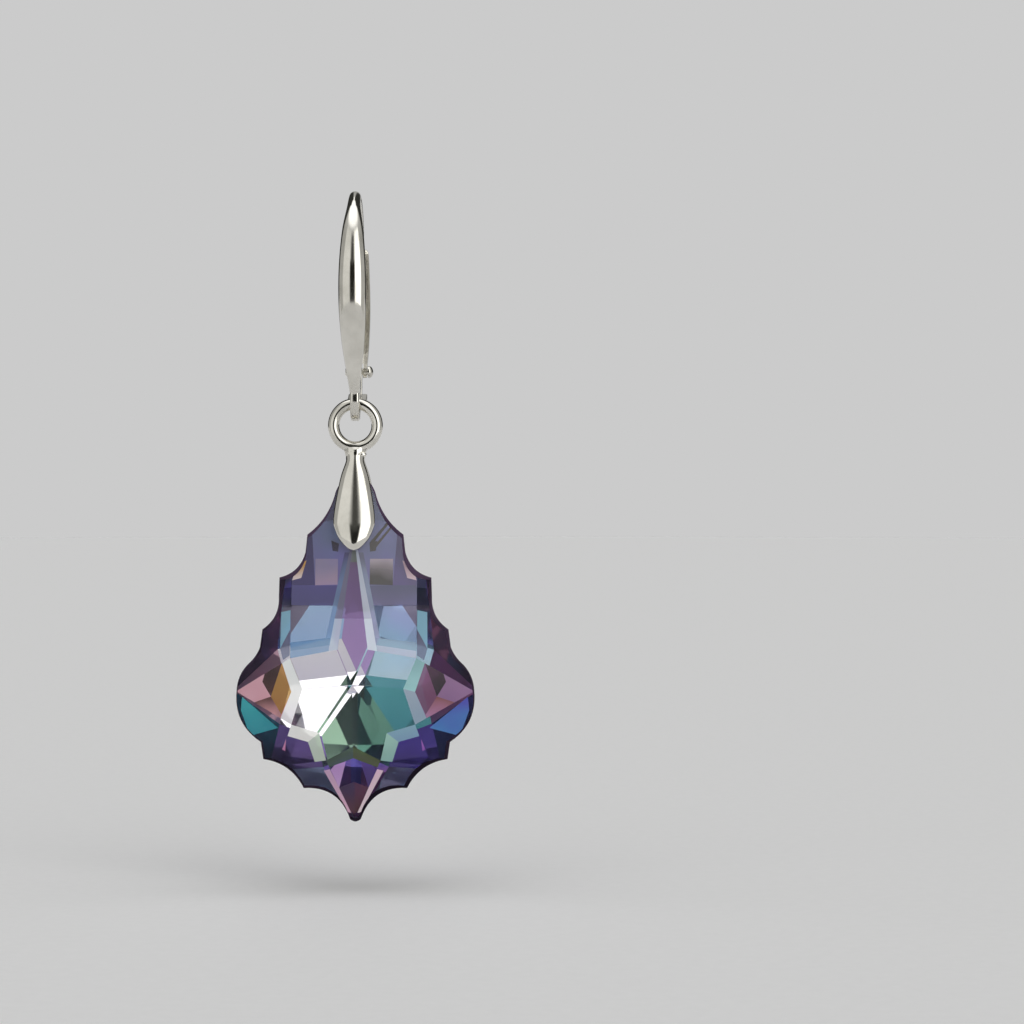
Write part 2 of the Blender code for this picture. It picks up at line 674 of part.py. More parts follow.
def build_stone(glass):
    """Cut the crystal: the facets of both faces, inside the fluted and tapered outline."""
    centre_up = STONE_TIP_UP + STAR["centre"][1] * STONE_HEIGHT
    half = STONE_DEPTH / 2
    body = bmesh.new()
    block = Matrix.Translation((0.0, 0.0, centre_up)) @ Matrix.Diagonal((2 * STONE_WIDTH, STONE_DEPTH,
                                                                       3 * STONE_HEIGHT, 1.0))
    bmesh.ops.create_cube(body, size=1.0, matrix=block)
    for slope, start in facet_planes():
        for face_side in (-1, 1):
            on_plane = Vector((0.0, face_side * (half - start), centre_up))
            normal = Vector((slope.x, float(face_side), slope.y)).normalized()
            geometry = body.verts[:] + body.edges[:] + body.faces[:]
            cut = bmesh.ops.bisect_plane(body, geom=geometry, dist=1e-8, plane_co=on_plane,
                                         plane_no=normal, clear_outer=True)
            edges = [piece for piece in cut["geom_cut"] if isinstance(piece, bmesh.types.BMEdge)]
            if edges:
                bmesh.ops.holes_fill(body, edges=edges)
    stone = new_object("crystal_pendant", finish_mesh(body, "crystal_pendant"))

    outline = stone_outline()
    shrink = BLANK_DEPTH * math.tan(GIRDLE_TAPER) / STONE_WIDTH
    rings = []
    for back, scale in ((-BLANK_DEPTH / 2, 1 - shrink), (0.0, 1.0), (BLANK_DEPTH / 2, 1 - shrink)):
        ring = []
        for point in outline:
            up = centre_up + (point.y - centre_up) * scale
            ring.append(Vector((point.x * scale, back, up)))
        rings.append(ring)
    blank = new_object("outline_blank", skin("outline_blank", rings), helper=True)
    combine(stone, blank, "INTERSECT")
    hole = lengthwise_cylinder("stone_bore", STONE_HOLE / 2, 2 * STONE_DEPTH, Vector((0, 0, STONE_HOLE_UP)))
    combine(stone, hole, "DIFFERENCE")
    stone.data.materials.append(glass)
    return stone


def shade(item, angle):
    """Shade a metal piece smooth with its edges kept."""
    item.data.shade_smooth()
    item.data.set_sharp_from_angle(angle=math.radians(angle))


def build():
    """Build the whole earring."""
    clear_scene()
    silver = material("polished silver", (0.80, 0.79, 0.76), 0.12, 1.0)
    glass = material("coated crystal", (0.55, 0.52, 0.72), 0.02, 0.0)
    for piece in (build_ear_wire(silver), build_lever(silver), build_hinge_pin(silver),
                  build_bail(silver, lambda up: half_depth_at(0.0, up))):
        shade(piece, 40.0)
    build_stone(glass)


build()
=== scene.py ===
"""Looks of a lever-back drop earring: polished silver fittings and one coated crystal.

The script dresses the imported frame. Each sub-assembly is a class whose fields are its sizes
in millimetres, in the frame's own axes: X to the right in the front view, Y to the back and
Z up, with the origin at the inner top of the ear wire.
"""

import logging
from contextlib import contextmanager
from dataclasses import dataclass
from enum import Enum, IntEnum
from math import atan2, copysign, cos, hypot, pi, radians, sin, tan
from typing import Any, Callable, Iterator, Sequence

import bpy
from bpy.types import Material, NodeOutputs, NodeSocket, NodeTree, Object
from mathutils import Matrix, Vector

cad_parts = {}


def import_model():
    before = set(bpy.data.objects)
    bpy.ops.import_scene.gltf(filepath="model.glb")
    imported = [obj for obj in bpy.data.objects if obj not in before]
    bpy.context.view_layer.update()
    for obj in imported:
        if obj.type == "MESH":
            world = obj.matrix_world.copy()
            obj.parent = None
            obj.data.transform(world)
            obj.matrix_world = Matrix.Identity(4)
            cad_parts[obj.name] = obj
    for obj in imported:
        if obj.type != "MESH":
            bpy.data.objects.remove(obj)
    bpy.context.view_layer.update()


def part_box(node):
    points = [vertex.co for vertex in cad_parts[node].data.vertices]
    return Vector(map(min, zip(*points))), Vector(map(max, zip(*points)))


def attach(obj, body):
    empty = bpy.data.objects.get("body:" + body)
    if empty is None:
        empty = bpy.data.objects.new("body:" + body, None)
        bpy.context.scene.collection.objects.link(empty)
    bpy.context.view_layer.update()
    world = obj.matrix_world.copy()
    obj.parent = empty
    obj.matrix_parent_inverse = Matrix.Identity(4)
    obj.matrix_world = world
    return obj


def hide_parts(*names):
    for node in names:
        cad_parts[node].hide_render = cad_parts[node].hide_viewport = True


MM = 0.001
LOG = logging.getLogger("drop_earring")
# Points round a wire, round the larger holes and round a rivet or peg.
ROUND = 48
FINE_ROUND = 64
PIN_ROUND = 32
# Rows that a sweep makes of each of its own.
SWEEP_STEPS = 7
# The width of a cutter that passes right through the silver.
THROUGH = 4.0
# Two faces with normals whose dot product is above this are one facet.
SAME_PLANE = 0.9999
# Places of the colour sockets on a Mix node, whose names repeat.
MIX_UNDER = 6
MIX_OVER = 7
MIX_COLOUR = 2

Row = tuple[float, ...]
Stops = Sequence[tuple[float, str]]


class Side(IntEnum):
    """A side of the earring in the front view, with its sign on X."""

    RIGHT = 1
    LEFT = -1


class Face(IntEnum):
    """The front or the back of the earring, with its sign on Y."""

    FRONT = -1
    BACK = 1


class Tool(Enum):
    """What one body does to another."""

    JOIN = "UNION"
    CUT = "DIFFERENCE"
    BOUND = "INTERSECT"


def linear(hex_colour: str) -> tuple[float, float, float, float]:
    """Turn an sRGB hex colour into linear RGBA.

    Args:
        hex_colour: Six hex digits after a number sign.

    Returns:
        The linear colour with full alpha.
    """
    parts = [int(hex_colour[place:place + 2], 16) / 255 for place in (1, 3, 5)]
    turned = [part / 12.92 if part <= 0.04045 else ((part + 0.055) / 1.055) ** 2.4 for part in parts]
    return (turned[0], turned[1], turned[2], 1.0)


def add_node(tree: NodeTree, kind: str, inputs: dict[str | int, Any] | Sequence[Any] = (),
             stops: Stops = (), **settings: Any) -> NodeOutputs:
    """Add a node, set it up and fill or link its inputs.

    Args:
        tree: The node tree that gets it.
        kind: The node's type, without ShaderNode in front.
        inputs: Values or sockets for its inputs, in order or by name or place.
        stops: Places and hex colours, where it holds a colour ramp.
        **settings: Its properties.

    Returns:
        The node's outputs.
    """
    node = tree.nodes.new("ShaderNode" + kind)
    for name, value in settings.items():
        setattr(node, name, value)
    for key, value in inputs.items() if isinstance(inputs, dict) else enumerate(inputs):
        if isinstance(value, NodeSocket):
            tree.links.new(value, node.inputs[key])
        else:
            node.inputs[key].default_value = value
    for _ in stops[2:]:
        node.color_ramp.elements.new(0.5)
    for index, (place, colour) in enumerate(stops):
        node.color_ramp.elements[index].position = place
        node.color_ramp.elements[index].color = linear(colour)
    return node.outputs


@dataclass(frozen=True)
class Finish:
    """A finish: a Principled shader with two tones in a soft pattern in Object coordinates.

    Grain is the pattern's size in millimetres, low_at and high_at say where on the pattern the
    tones stand, mirror is the metallic share and clear the share that light passes through.
    """

    name: str
    low: str
    high: str
    low_at: float = 0.3
    high_at: float = 0.7
    grain: float = 1.0
    detail: float = 1.0
    unevenness: float = 0.5
    mirror: float = 0.0
    roughness: float = 0.0
    index: float = 1.5
    clear: float = 0.0
    level: float = 0.5
    sheen: str = "#FFFFFF"

    def share(self, tree: NodeTree, place: NodeSocket, pattern: NodeSocket) -> NodeSocket:
        """Give what the tones run with: the pattern, unless a finish has something else."""
        return pattern

    def relief(self, tree: NodeTree, place: NodeSocket, pattern: NodeSocket) -> dict[str, NodeSocket]:
        """Give further inputs of the shader, by name, where a finish has any."""
        return {}

    def material(self) -> Material:
        """Make the finish.

        Returns:
            The material.
        """
        made = bpy.data.materials.new(self.name)
        made.use_nodes = True
        tree = made.node_tree
        tree.nodes.clear()
        place = add_node(tree, "TexCoord")["Object"]
        pattern = add_node(tree, "TexNoise", {
            "Vector": place, "Scale": 1 / (self.grain * MM), "Detail": self.detail,
            "Roughness": self.unevenness})["Fac"]
        tones = ((self.low_at, self.low), (self.high_at, self.high))
        look = {"Base Color": add_node(tree, "ValToRGB", [self.share(tree, place, pattern)], tones)[0],
                "Metallic": self.mirror, "Roughness": self.roughness, "IOR": self.index,
                "Transmission Weight": self.clear, "Specular IOR Level": self.level,
                "Specular Tint": linear(self.sheen)}
        shader = add_node(tree, "BsdfPrincipled", look | self.relief(tree, place, pattern))
        add_node(tree, "OutputMaterial", {"Surface": shader["BSDF"]})
        return made


@dataclass(frozen=True)
class PolishedSilver(Finish):
    """Silver, cast, flashed with rhodium and buffed on a wheel."""

    # To the eye: a bright mirror of a slightly warm white, with a faint haze and fine lines
    # from the wheel. The real lines are finer than a pixel, so they are drawn coarser.
    name: str = "polished silver"
    low: str = "#EEEBE3"
    high: str = "#D2CFC6"
    high_at: float = 0.75
    grain: float = 1.6
    detail: float = 4.0
    unevenness: float = 0.6
    mirror: float = 1.0
    smooth_at: float = 0.35
    rough_at: float = 0.7
    smoothest: float = 0.05
    roughest: float = 0.16
    line_pitch: float = 0.05
    line_depth: float = 0.01
    line_share: float = 0.02
    line_stretch: float = 0.12
    line_lean: float = 12.0

    def relief(self, tree: NodeTree, place: NodeSocket, pattern: NodeSocket) -> dict[str, NodeSocket]:
        """Work out the haze and the lines from the wheel.

        Args:
            tree: The material's tree.
            place: The place on the object.
            pattern: The finish's pattern.

        Returns:
            The roughness and the normal.
        """
        drawn = add_node(tree, "Mapping", {
            "Vector": place, "Scale": (1.0, 1.0, self.line_stretch),
            "Rotation": (0.0, radians(self.line_lean), 0.0)})[0]
        lines = add_node(tree, "TexNoise", {
            "Vector": drawn, "Scale": 1 / (self.line_pitch * MM), "Detail": 2.0})["Fac"]
        rough = add_node(tree, "MapRange", [
            pattern, self.smooth_at, self.rough_at, self.smoothest, self.roughest])[0]
        return {"Roughness": rough, "Normal": add_node(tree, "Bump", {
            "Strength": self.line_share, "Distance": self.line_depth * MM, "Height": lines})[0]}


@dataclass(frozen=True)
class ClearCrystal(Finish):
    """Lead-free crystal glass, cut and polished, without a coat."""

    # To the eye: clear, with a breath of lavender, and lilac where it mirrors the room.
    name: str = "clear crystal"
    low: str = "#FBF9FF"
    high: str = "#F1ECFA"
    low_at: float = 0.35
    high_at: float = 0.65
    grain: float = 6.0
    index: float = 1.55
    clear: float = 1.0
    sheen: str = "#A8ACDC"


@dataclass(frozen=True)
class CoatOrPaintedFilm(Finish):
    """Crystal glass under a thin oxide coat, laid in vapour; on the front, a film painted with reflections
    and shade.
    """

    # To the eye: a colour of its own on each facet, part mirror and part haze, that drifts with
    # height and a little from place to place. A film on the front is painted light and shade: it lays
    # the look of reflections, glints and shadows over the glass and lets some of the glass through.
    low_at: float = 0.1
    high_at: float = 0.9
    grain: float = 2.5
    mirror: float = 0.55
    roughness: float = 0.03
    index: float = ClearCrystal.index
    low_up: float = 0.0
    high_up: float = 0.0
    sway: float = 0.25

    # The values between which most of the pattern lies.
    PATTERN_SPAN = (0.3, 0.7)

    def share(self, tree: NodeTree, place: NodeSocket, pattern: NodeSocket) -> NodeSocket:
        """Run the tones with height, swayed a little by the pattern.

        Args:
            tree: The material's tree.
            place: The place on the object.
            pattern: The finish's pattern.

        Returns:
            The share of the upper tone.
        """
        swayed = add_node(tree, "MapRange", [pattern, *self.PATTERN_SPAN, -self.sway, self.sway])[0]
        up = add_node(tree, "SeparateXYZ", [place])["Z"]
        height = add_node(tree, "MapRange", [up, self.low_up * MM, self.high_up * MM], clamp=False)[0]
        return add_node(tree, "Math", [height, swayed], operation="ADD")[0]


@dataclass(frozen=True)
class StudioPaper(Finish):
    """Uncoated studio paper, matt."""

    # To the eye: an even pale ground that takes a soft shadow. The real fibres are too fine to
    # show at this distance, so the grain is drawn coarser.
    name: str = "pale studio paper"
    low: str = "#F2F2F3"
    high: str = "#F4F4F5"
    grain: float = 0.8
    detail: float = 6.0
    roughness: float = 0.95
    level: float = 0.0


def pick(made: Object) -> None:
    """Make an object the active one and the only one selected.

    Args:
        made: The object.
    """
    bpy.ops.object.select_all(action="DESELECT")
    made.select_set(True)
    bpy.context.view_layer.objects.active = made


def start(name: str) -> Object:
    """Name the primitive that was just added and apply its place, turn and scale.

    Args:
        name: The name for it.

    Returns:
        The active object.
    """
    made = bpy.context.active_object
    made.name = name
    made.data.name = name
    bpy.ops.object.transform_apply(location=True, rotation=True, scale=True)
    return made


@contextmanager
def editing(made: Object, select_all: bool = True) -> Iterator[None]:
    """Open an object alone in edit mode, and go back to object mode at the end.

    Args:
        made: The object.
        select_all: Whether all of it is selected first.

    Yields:
        Nothing, while the object is open.
    """
    pick(made)
    bpy.ops.object.mode_set(mode="EDIT")
    if select_all:
        bpy.ops.mesh.select_all(action="SELECT")
    yield
    bpy.ops.object.mode_set(mode="OBJECT")


def modify(made: Object, kind: str, **settings: Any) -> None:
    """Give an object a modifier and apply it.

    Args:
        made: The object.
        kind: The modifier's type.
        **settings: Its properties.
    """
    step = made.modifiers.new(kind.lower(), kind)
    for name, value in settings.items():
        setattr(step, name, value)
    pick(made)
    bpy.ops.object.modifier_apply(modifier=step.name)


def combine(made: Object, other: Object, tool: Tool = Tool.CUT) -> None:
    """Cut, join or bound an object with another, which is then removed.

    Args:
        made: The object that is changed.
        other: The object that changes it.
        tool: What the other one does.
    """
    modify(made, "BOOLEAN", operation=tool.value, solver="EXACT", object=other)
    bpy.data.objects.remove(other, do_unlink=True)


def ease_edges(made: Object, width: float, angle: float = 35.0) -> None:
    """Round an object's sharp edges as the polishing wheel does.

    Args:
        made: The object.
        width: The width of the rounding, in millimetres.
        angle: The least angle that counts as an edge, in degrees.
    """
    modify(made, "BEVEL", width=width * MM, segments=3, limit_method="ANGLE", angle_limit=radians(angle),
           harden_normals=False)


def polish(pieces: Sequence[Object], finish: Material, body: str, node: str,
           angle: float = 40.0) -> list[Object]:
    """Shade silver pieces smooth, give them their finish and hang them on their body.

    Args:
        pieces: The pieces.
        finish: Their material.
        body: The body that they ride on.
        node: The CAD piece that they stand for.
        angle: The angle above which an edge stays sharp, in degrees.

    Returns:
        The same pieces.
    """
    for made in pieces:
        pick(made)
        bpy.ops.object.shade_smooth_by_angle(angle=radians(angle))
        made.data.materials.clear()
        made.data.materials.append(finish)
        for face in made.data.polygons:
            face.material_index = 0
        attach(made, body)
        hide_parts(node)
    return list(pieces)


def smooth_rows(rows: Sequence[Row], steps: int) -> list[Row]:
    """Fill in rows of numbers along a smooth curve that passes through each row.

    Args:
        rows: The rows to pass through.
        steps: How many rows to make of each.

    Returns:
        The finer rows.
    """
    last = len(rows) - 1
    filled: list[Row] = []
    for index in range(last):
        near = (rows[max(index - 1, 0)], rows[index], rows[index + 1], rows[min(index + 2, last)])
        for step in range(steps):
            t = step / steps
            cube, square = t ** 3, t ** 2
            filled.append(tuple(
                (2 * cube - 3 * square + 1) * b + (cube - 2 * square + t) * (c - a) / 2
                + (3 * square - 2 * cube) * c + (cube - square) * (d - b) / 2
                for a, b, c, d in zip(*near)))
    return filled + [tuple(rows[last])]


def circle(count: int) -> list[tuple[float, float]]:
    """List the cosines and sines of even steps round a circle."""
    return [(cos(2 * pi * spot / count), sin(2 * pi * spot / count)) for spot in range(count)]


def oval(place: tuple[float, float], half_depth: float, half_height: float,
         count: int = FINE_ROUND) -> list[tuple[float, float]]:
    """List the points of an oval round a place, as Y and Z in millimetres."""
    return [(place[0] + half_depth * c, place[1] + half_height * s) for c, s in circle(count)]


def outward(path: Sequence[Vector], index: int) -> Vector:
    """Give the unit normal of a path in the YZ plane, to the left of its direction."""
    along = (path[min(index + 1, len(path) - 1)] - path[max(index - 1, 0)]).normalized()
    return Vector((0.0, -along.z, along.y))


def loft(name: str, rings: Sequence[Sequence[Vector]]) -> Object:
    """Extrude a disc row by row, then bring each row to its section.

    Args:
        name: The object's name.
        rings: The sections from end to end, in millimetres, each with the same number of points.

    Returns:
        A closed body.
    """
    count = len(rings[0])
    bpy.ops.mesh.primitive_circle_add(vertices=count, radius=MM, fill_type="NGON")
    made = start(name)
    with editing(made):
        for _ in rings[1:]:
            bpy.ops.mesh.extrude_region_move(TRANSFORM_OT_translate={"value": (0.0, 0.0, MM)})
    for vertex in made.data.vertices:
        spot = round(atan2(vertex.co.y, vertex.co.x) / (2 * pi) * count) % count
        vertex.co = rings[round(vertex.co.z / MM)][spot] * MM
    with editing(made):
        bpy.ops.mesh.normals_make_consistent(inside=False)
    return made


def sweep(name: str, rows: Sequence[Row], face: Face = Face.BACK) -> Object:
    """Loft ovals along a smooth path in the YZ plane, each with two bulges of its own.

    Args:
        name: The object's name.
        rows: Y, Z, half the width, outer bulge and inner bulge of each section.
        face: The face that the rows are for; Y is mirrored for the front.

    Returns:
        A closed body.
    """
    filled = smooth_rows(rows, SWEEP_STEPS)
    path = [Vector((0.0, face * row[0], row[1])) for row in filled]
    rings = []
    for index, (_, _, half_width, outer, inner) in enumerate(filled):
        normal = outward(path, index) * face
        rings.append([path[index] + Vector((half_width * c, 0, 0)) + normal * (outer if s > 0 else inner) * s
                      for c, s in circle(ROUND)])
    return loft(name, rings)


def plate(name: str, outline: Sequence[tuple[float, float]], width: float) -> Object:
    """Extrude an outline, given as Y and Z, to both sides of X by half a width."""
    return loft(name, [[Vector((side * width / 2, back, up)) for back, up in outline] for side in (-1, 1)])


@dataclass
class Hinge:
    """Sizes that the ear wire, the lever and the rivet share at the hinge, in millimetres."""

    back: float = 2.60
    drop: float = 10.55
    pin: float = 0.40
    pin_clearance: float = 0.05
    strap: float = 0.56
    tongue: float = 0.44
    side_clearance: float = 0.06
    cheek: float = 0.27

    @property
    def fork(self) -> float:
        """The fork's whole width."""
        return self.strap + 2 * self.side_clearance + 2 * self.cheek

    @property
    def place(self) -> tuple[float, float]:
        """The pin's axis as Y and Z."""
        return self.back, -self.drop

    def bar(self, name: str, radius: float, width: float) -> Object:
        """Model a round bar on the pin's axis."""
        return plate(name, oval(self.place, radius, radius, ROUND), width)

    def drill(self, name: str) -> Object:
        """Model the drill of the pin's bore."""
        return self.bar(name, self.pin / 2 + self.pin_clearance, THROUGH)


@dataclass
class EarWire:
    """The domed leaf, the round hook and its leg, with the eye and the hinge tongue below."""

    hinge: Hinge
    wire: float = 0.72
    leaf_width: float = 1.72
    leaf_dome: float = 0.56
    leaf_height: float = 12.55
    front_reach: float = 3.55
    back_reach: float = 4.40
    leg_drop: float = 4.20
    eye_wall: float = 0.55
    eye_foot: float = 0.64
    eye_rise: float = 0.15
    eye_depth: float = 1.20
    eye_height: float = 1.46
    eye_easing: float = 0.12
    knuckle_width: float = 1.20
    knuckle_height: float = 0.85
    knuckle_rise: float = 0.64
    knuckle_corner: float = 0.21
    knuckle_root: float = 0.14
    knuckle_easing: float = 0.10
    tongue_root: float = 0.352
    tongue_easing: float = 0.04

    # Name, then reach to the front, drop, width, front dome and back dome as shares of their sizes.
    LEAF = (
        ("foot", 0.20, 1.000, 0.30, 0.42, 0.42),
        ("ankle", 0.27, 0.947, 0.37, 0.50, 0.45),
        ("taper", 0.49, 0.854, 0.56, 0.70, 0.32),
        ("low leaf", 0.74, 0.728, 0.81, 0.90, 0.20),
        ("belly", 0.93, 0.582, 0.97, 1.00, 0.18),
        ("high belly", 1.00, 0.436, 1.00, 1.00, 0.18),
        ("shoulder", 0.95, 0.300, 0.92, 0.95, 0.22),
        ("bend", 0.80, 0.174, 0.75, 0.84, 0.35),
        ("rise", 0.54, 0.071, 0.50, 0.70, 0.50),
        ("front of top", 0.28, 0.020, 0.43, 0.64, 0.60),
    )
    # Name, then reach to the back, drop and thickness as shares of their sizes.
    HOOK = (
        ("top", 0.00, 0.000, 1.000),
        ("behind top", 0.30, 0.050, 1.000),
        ("fall", 0.60, 0.200, 1.000),
        ("back bend", 0.84, 0.419, 0.960),
        ("leg", 0.97, 0.690, 0.885),
        ("leg end", 1.00, 0.973, 0.810),
        ("leg tip", 1.00, 1.000, 0.470),
    )

    def leaf_and_hook(self) -> Object:
        """Model the leaf, the hook and the leg as one drawn body.

        Returns:
            The body.
        """
        radius = self.wire / 2
        rows: list[Row] = []
        for _, reach, drop, width, front, back in self.LEAF:
            rows.append((-reach * self.front_reach, radius - drop * (self.leaf_height + radius),
                         width * self.leaf_width / 2, front * self.leaf_dome, back * self.leaf_dome))
        for _, reach, drop, thickness in self.HOOK:
            rows.append((reach * self.back_reach, radius - drop * (self.leg_drop + radius))
                        + (thickness * radius,) * 3)
        return sweep("ear_wire_leaf_and_hook", rows)

    def eye(self) -> Object:
        """Model the flat eye that holds the drop's ring.

        Returns:
            The eye.
        """
        middle = (0.0, -self.leaf_height + self.eye_rise)
        half_depth, half_height = self.eye_depth / 2, self.eye_height / 2
        rim = oval(middle, half_depth + self.eye_wall, half_height + self.eye_foot)
        made = plate("ear_wire_eye", rim, self.hinge.strap)
        combine(made, plate("eye_hole", oval(middle, half_depth, half_height), THROUGH))
        ease_edges(made, self.eye_easing)
        return made

    def knuckle(self) -> Object:
        """Model the knuckle behind the eye.

        Returns:
            The knuckle.
        """
        top = -self.leaf_height + self.knuckle_rise
        low = top - self.knuckle_height
        front = self.eye_depth / 2 + self.knuckle_root
        back = self.hinge.back + self.hinge.tongue
        corner = self.knuckle_corner
        made = plate("ear_wire_knuckle", (
            (front, low), (back - 2 * corner, low), (back - corner / 2, low + corner),
            (back, top - corner), (back - corner / 2, top), (front, top)), self.knuckle_width)
        ease_edges(made, self.knuckle_easing)
        return made

    def tongue(self) -> Object:
        """Model the tongue that stands between the lever's cheeks.

        Returns:
            The bored tongue.
        """
        root = -self.leaf_height + self.knuckle_rise - self.knuckle_height / 2
        radius = self.hinge.tongue
        outline = oval(self.hinge.place, radius, radius, ROUND)[:ROUND // 2 + 1]
        outline += [(self.hinge.back + side * self.tongue_root, root) for side in (-1, 1)]
        made = plate("ear_wire_tongue", outline, self.hinge.strap)
        combine(made, self.hinge.drill("tongue_bore"))
        ease_edges(made, self.tongue_easing)
        return made

    def build(self, finish: Material) -> list[Object]:
        """Model, polish and hang the ear wire's pieces."""
        pieces = (self.leaf_and_hook(), self.eye(), self.knuckle(), self.tongue())
        return polish(pieces, finish, "ear_wire", "ear_wire")


@dataclass
class Lever:
    """The lever behind the ear: a channel forked round the tongue, closed on the leg's end."""

    hinge: Hinge
    height: float = 8.00
    back: float = 4.45
    depth: float = 0.86
    wall: float = 0.22
    width: float = 1.442
    slot_room: float = 0.11
    barrel_step: float = 0.02
    easing: float = 0.035

    # Name, then reach to the back, rise, width and depth as shares. The pin's row is as wide as
    # the fork.
    SECTIONS = (
        ("pin", 0.00, 0.000, None, 0.90),
        ("neck", 0.24, 0.075, 0.86, 0.92),
        ("rise", 0.54, 0.190, 0.93, 1.00),
        ("belly", 0.80, 0.380, 1.00, 1.00),
        ("middle", 0.95, 0.600, 1.00, 1.00),
        ("shoulder", 1.00, 0.800, 0.93, 0.96),
        ("collar", 1.00, 0.945, 0.86, 0.90),
        ("end", 0.99, 0.980, 0.80, 0.76),
        ("end edge", 0.98, 1.000, 0.68, 0.56),
    )
    # The rows past the collar, where the channel is closed.
    CLOSED_ROWS = 2
    STEPS = 5
    # The steps and the squareness of the round back, where it starts, and a point on each flank.
    BACK_STEPS = 12
    SQUARENESS = 0.62
    BACK_START = 0.15
    FLANK = 0.4
    # Angles in degrees: the least that is eased, and the greatest that is shaded smooth.
    EDGE_ANGLE = 50.0
    SMOOTH_ANGLE = 35.0

    def section(self, centre: Vector, forward: Vector, half_width: float, half_depth: float) -> list[Vector]:
        """Give a section that is flat in front and rounded behind.

        Args:
            centre: Its middle.
            forward: The direction to the leaf.
            half_width: Half its width.
            half_depth: Half its depth.

        Returns:
            Its points.
        """
        points = [(-1.0, 1.0), (-1.0, self.FLANK)]
        for step in range(self.BACK_STEPS + 1):
            turn = pi * step / self.BACK_STEPS
            across = -copysign(abs(cos(turn)) ** self.SQUARENESS, cos(turn))
            round_back = (1 - self.BACK_START) * sin(turn) ** self.SQUARENESS
            points.append((across, -self.BACK_START - round_back))
        points += [(1.0, self.FLANK), (1.0, 1.0), (0.0, 1.0)]
        return [centre + Vector((half_width * a, 0, 0)) + forward * half_depth * b for a, b in points]

    def body(self) -> Object:
        """Model the lever's shell with its barrel, then cut the channel, the fork and the bore.

        Returns:
            The lever.
        """
        rows: list[Row] = []
        for _, reach, rise, share, depth in self.SECTIONS:
            width = self.hinge.fork if share is None else share * self.width
            rows.append((self.hinge.back + reach * (self.back - self.hinge.back),
                         -self.hinge.drop + rise * self.height, width / 2, depth * self.depth / 2))
        filled = smooth_rows(rows, self.STEPS)
        path = [Vector((0.0, row[0], row[1])) for row in filled]
        shells = []
        channels = []
        for index, (_, _, half_width, half_depth) in enumerate(filled):
            forward = outward(path, index)
            shells.append(self.section(path[index], forward, half_width, half_depth))
            floor = path[index] - forward * (half_depth - self.wall)
            mouth = path[index] + forward * 2 * self.depth
            side = Vector((half_width - self.wall, 0, 0))
            channels.append([floor - side, floor + side, mouth + side, mouth - side])
        collar = (len(self.SECTIONS) - 1 - self.CLOSED_ROWS) * self.STEPS
        del channels[collar + 1:]
        up = (path[collar] - path[collar - 1]).normalized() * 2 * self.depth
        down = (path[0] - path[1]).normalized() * self.depth
        channels.append([point + up for point in channels[-1]])
        channels.insert(0, [point + down for point in channels[0]])
        made = loft("lever_channel", shells)
        barrel = self.hinge.bar("barrel", rows[0][3], self.hinge.fork - 2 * self.barrel_step)
        combine(made, barrel, Tool.JOIN)
        for cutter in (loft("channel_cutter", channels), self.fork_slot(), self.hinge.drill("lever_bore")):
            combine(made, cutter)
        ease_edges(made, self.easing, self.EDGE_ANGLE)
        return made

    def fork_slot(self) -> Object:
        """Model the cutter of the slot that the tongue stands in.

        Returns:
            The cutter, open below and on both faces.
        """
        back, pin_up = self.hinge.place
        near, far = back - 2 * self.depth, back + 2 * self.depth
        low = pin_up - self.SECTIONS[0][4] * self.depth
        high = pin_up + self.hinge.tongue + self.slot_room
        outline = ((near, low), (far, low), (far, high), (near, high))
        return plate("fork_slot", outline, self.hinge.strap + 2 * self.hinge.side_clearance)

    def build(self, finish: Material) -> list[Object]:
        """Model, polish and hang the lever."""
        return polish([self.body()], finish, "lever", "lever", self.SMOOTH_ANGLE)


@dataclass
class Rivet:
    """The hinge rivet: a domed head on the right and a low peened end on the left."""

    hinge: Hinge
    head: float = 0.76
    head_height: float = 0.33
    tail_height: float = 0.12
    clearance: float = 0.05

    # The tail's end and foot as shares of the head, and the head's rim as a share of its height.
    TAIL_END = 0.55
    TAIL_FOOT = 0.80
    RIM = 0.25
    DOME_STEPS = 8
    # The radius of the flat that closes the tail.
    CENTRE = 0.02

    def build(self, finish: Material) -> list[Object]:
        """Model, polish and hang the rivet.

        Args:
            finish: The silver.

        Returns:
            The rivet in a list.
        """
        inner = self.hinge.fork / 2 + self.clearance
        tail = -inner - self.tail_height
        shank, head = self.hinge.pin / 2, self.head / 2
        profile = [(tail, self.CENTRE), (tail, head * self.TAIL_END), (-inner, head * self.TAIL_FOOT),
                   (-inner, shank), (inner, shank), (inner, head)]
        for step in range(self.DOME_STEPS):
            turn = pi / 2 * step / self.DOME_STEPS
            height = self.RIM + (1 - self.RIM) * sin(turn)
            profile.append((inner + self.head_height * height, head * cos(turn)))
        rings = []
        for across, radius in profile:
            ring = oval(self.hinge.place, radius, radius, PIN_ROUND)
            rings.append([Vector((across, back, up)) for back, up in ring])
        return polish([loft("hinge_rivet", rings)], finish, "ear_wire", "hinge_pin")


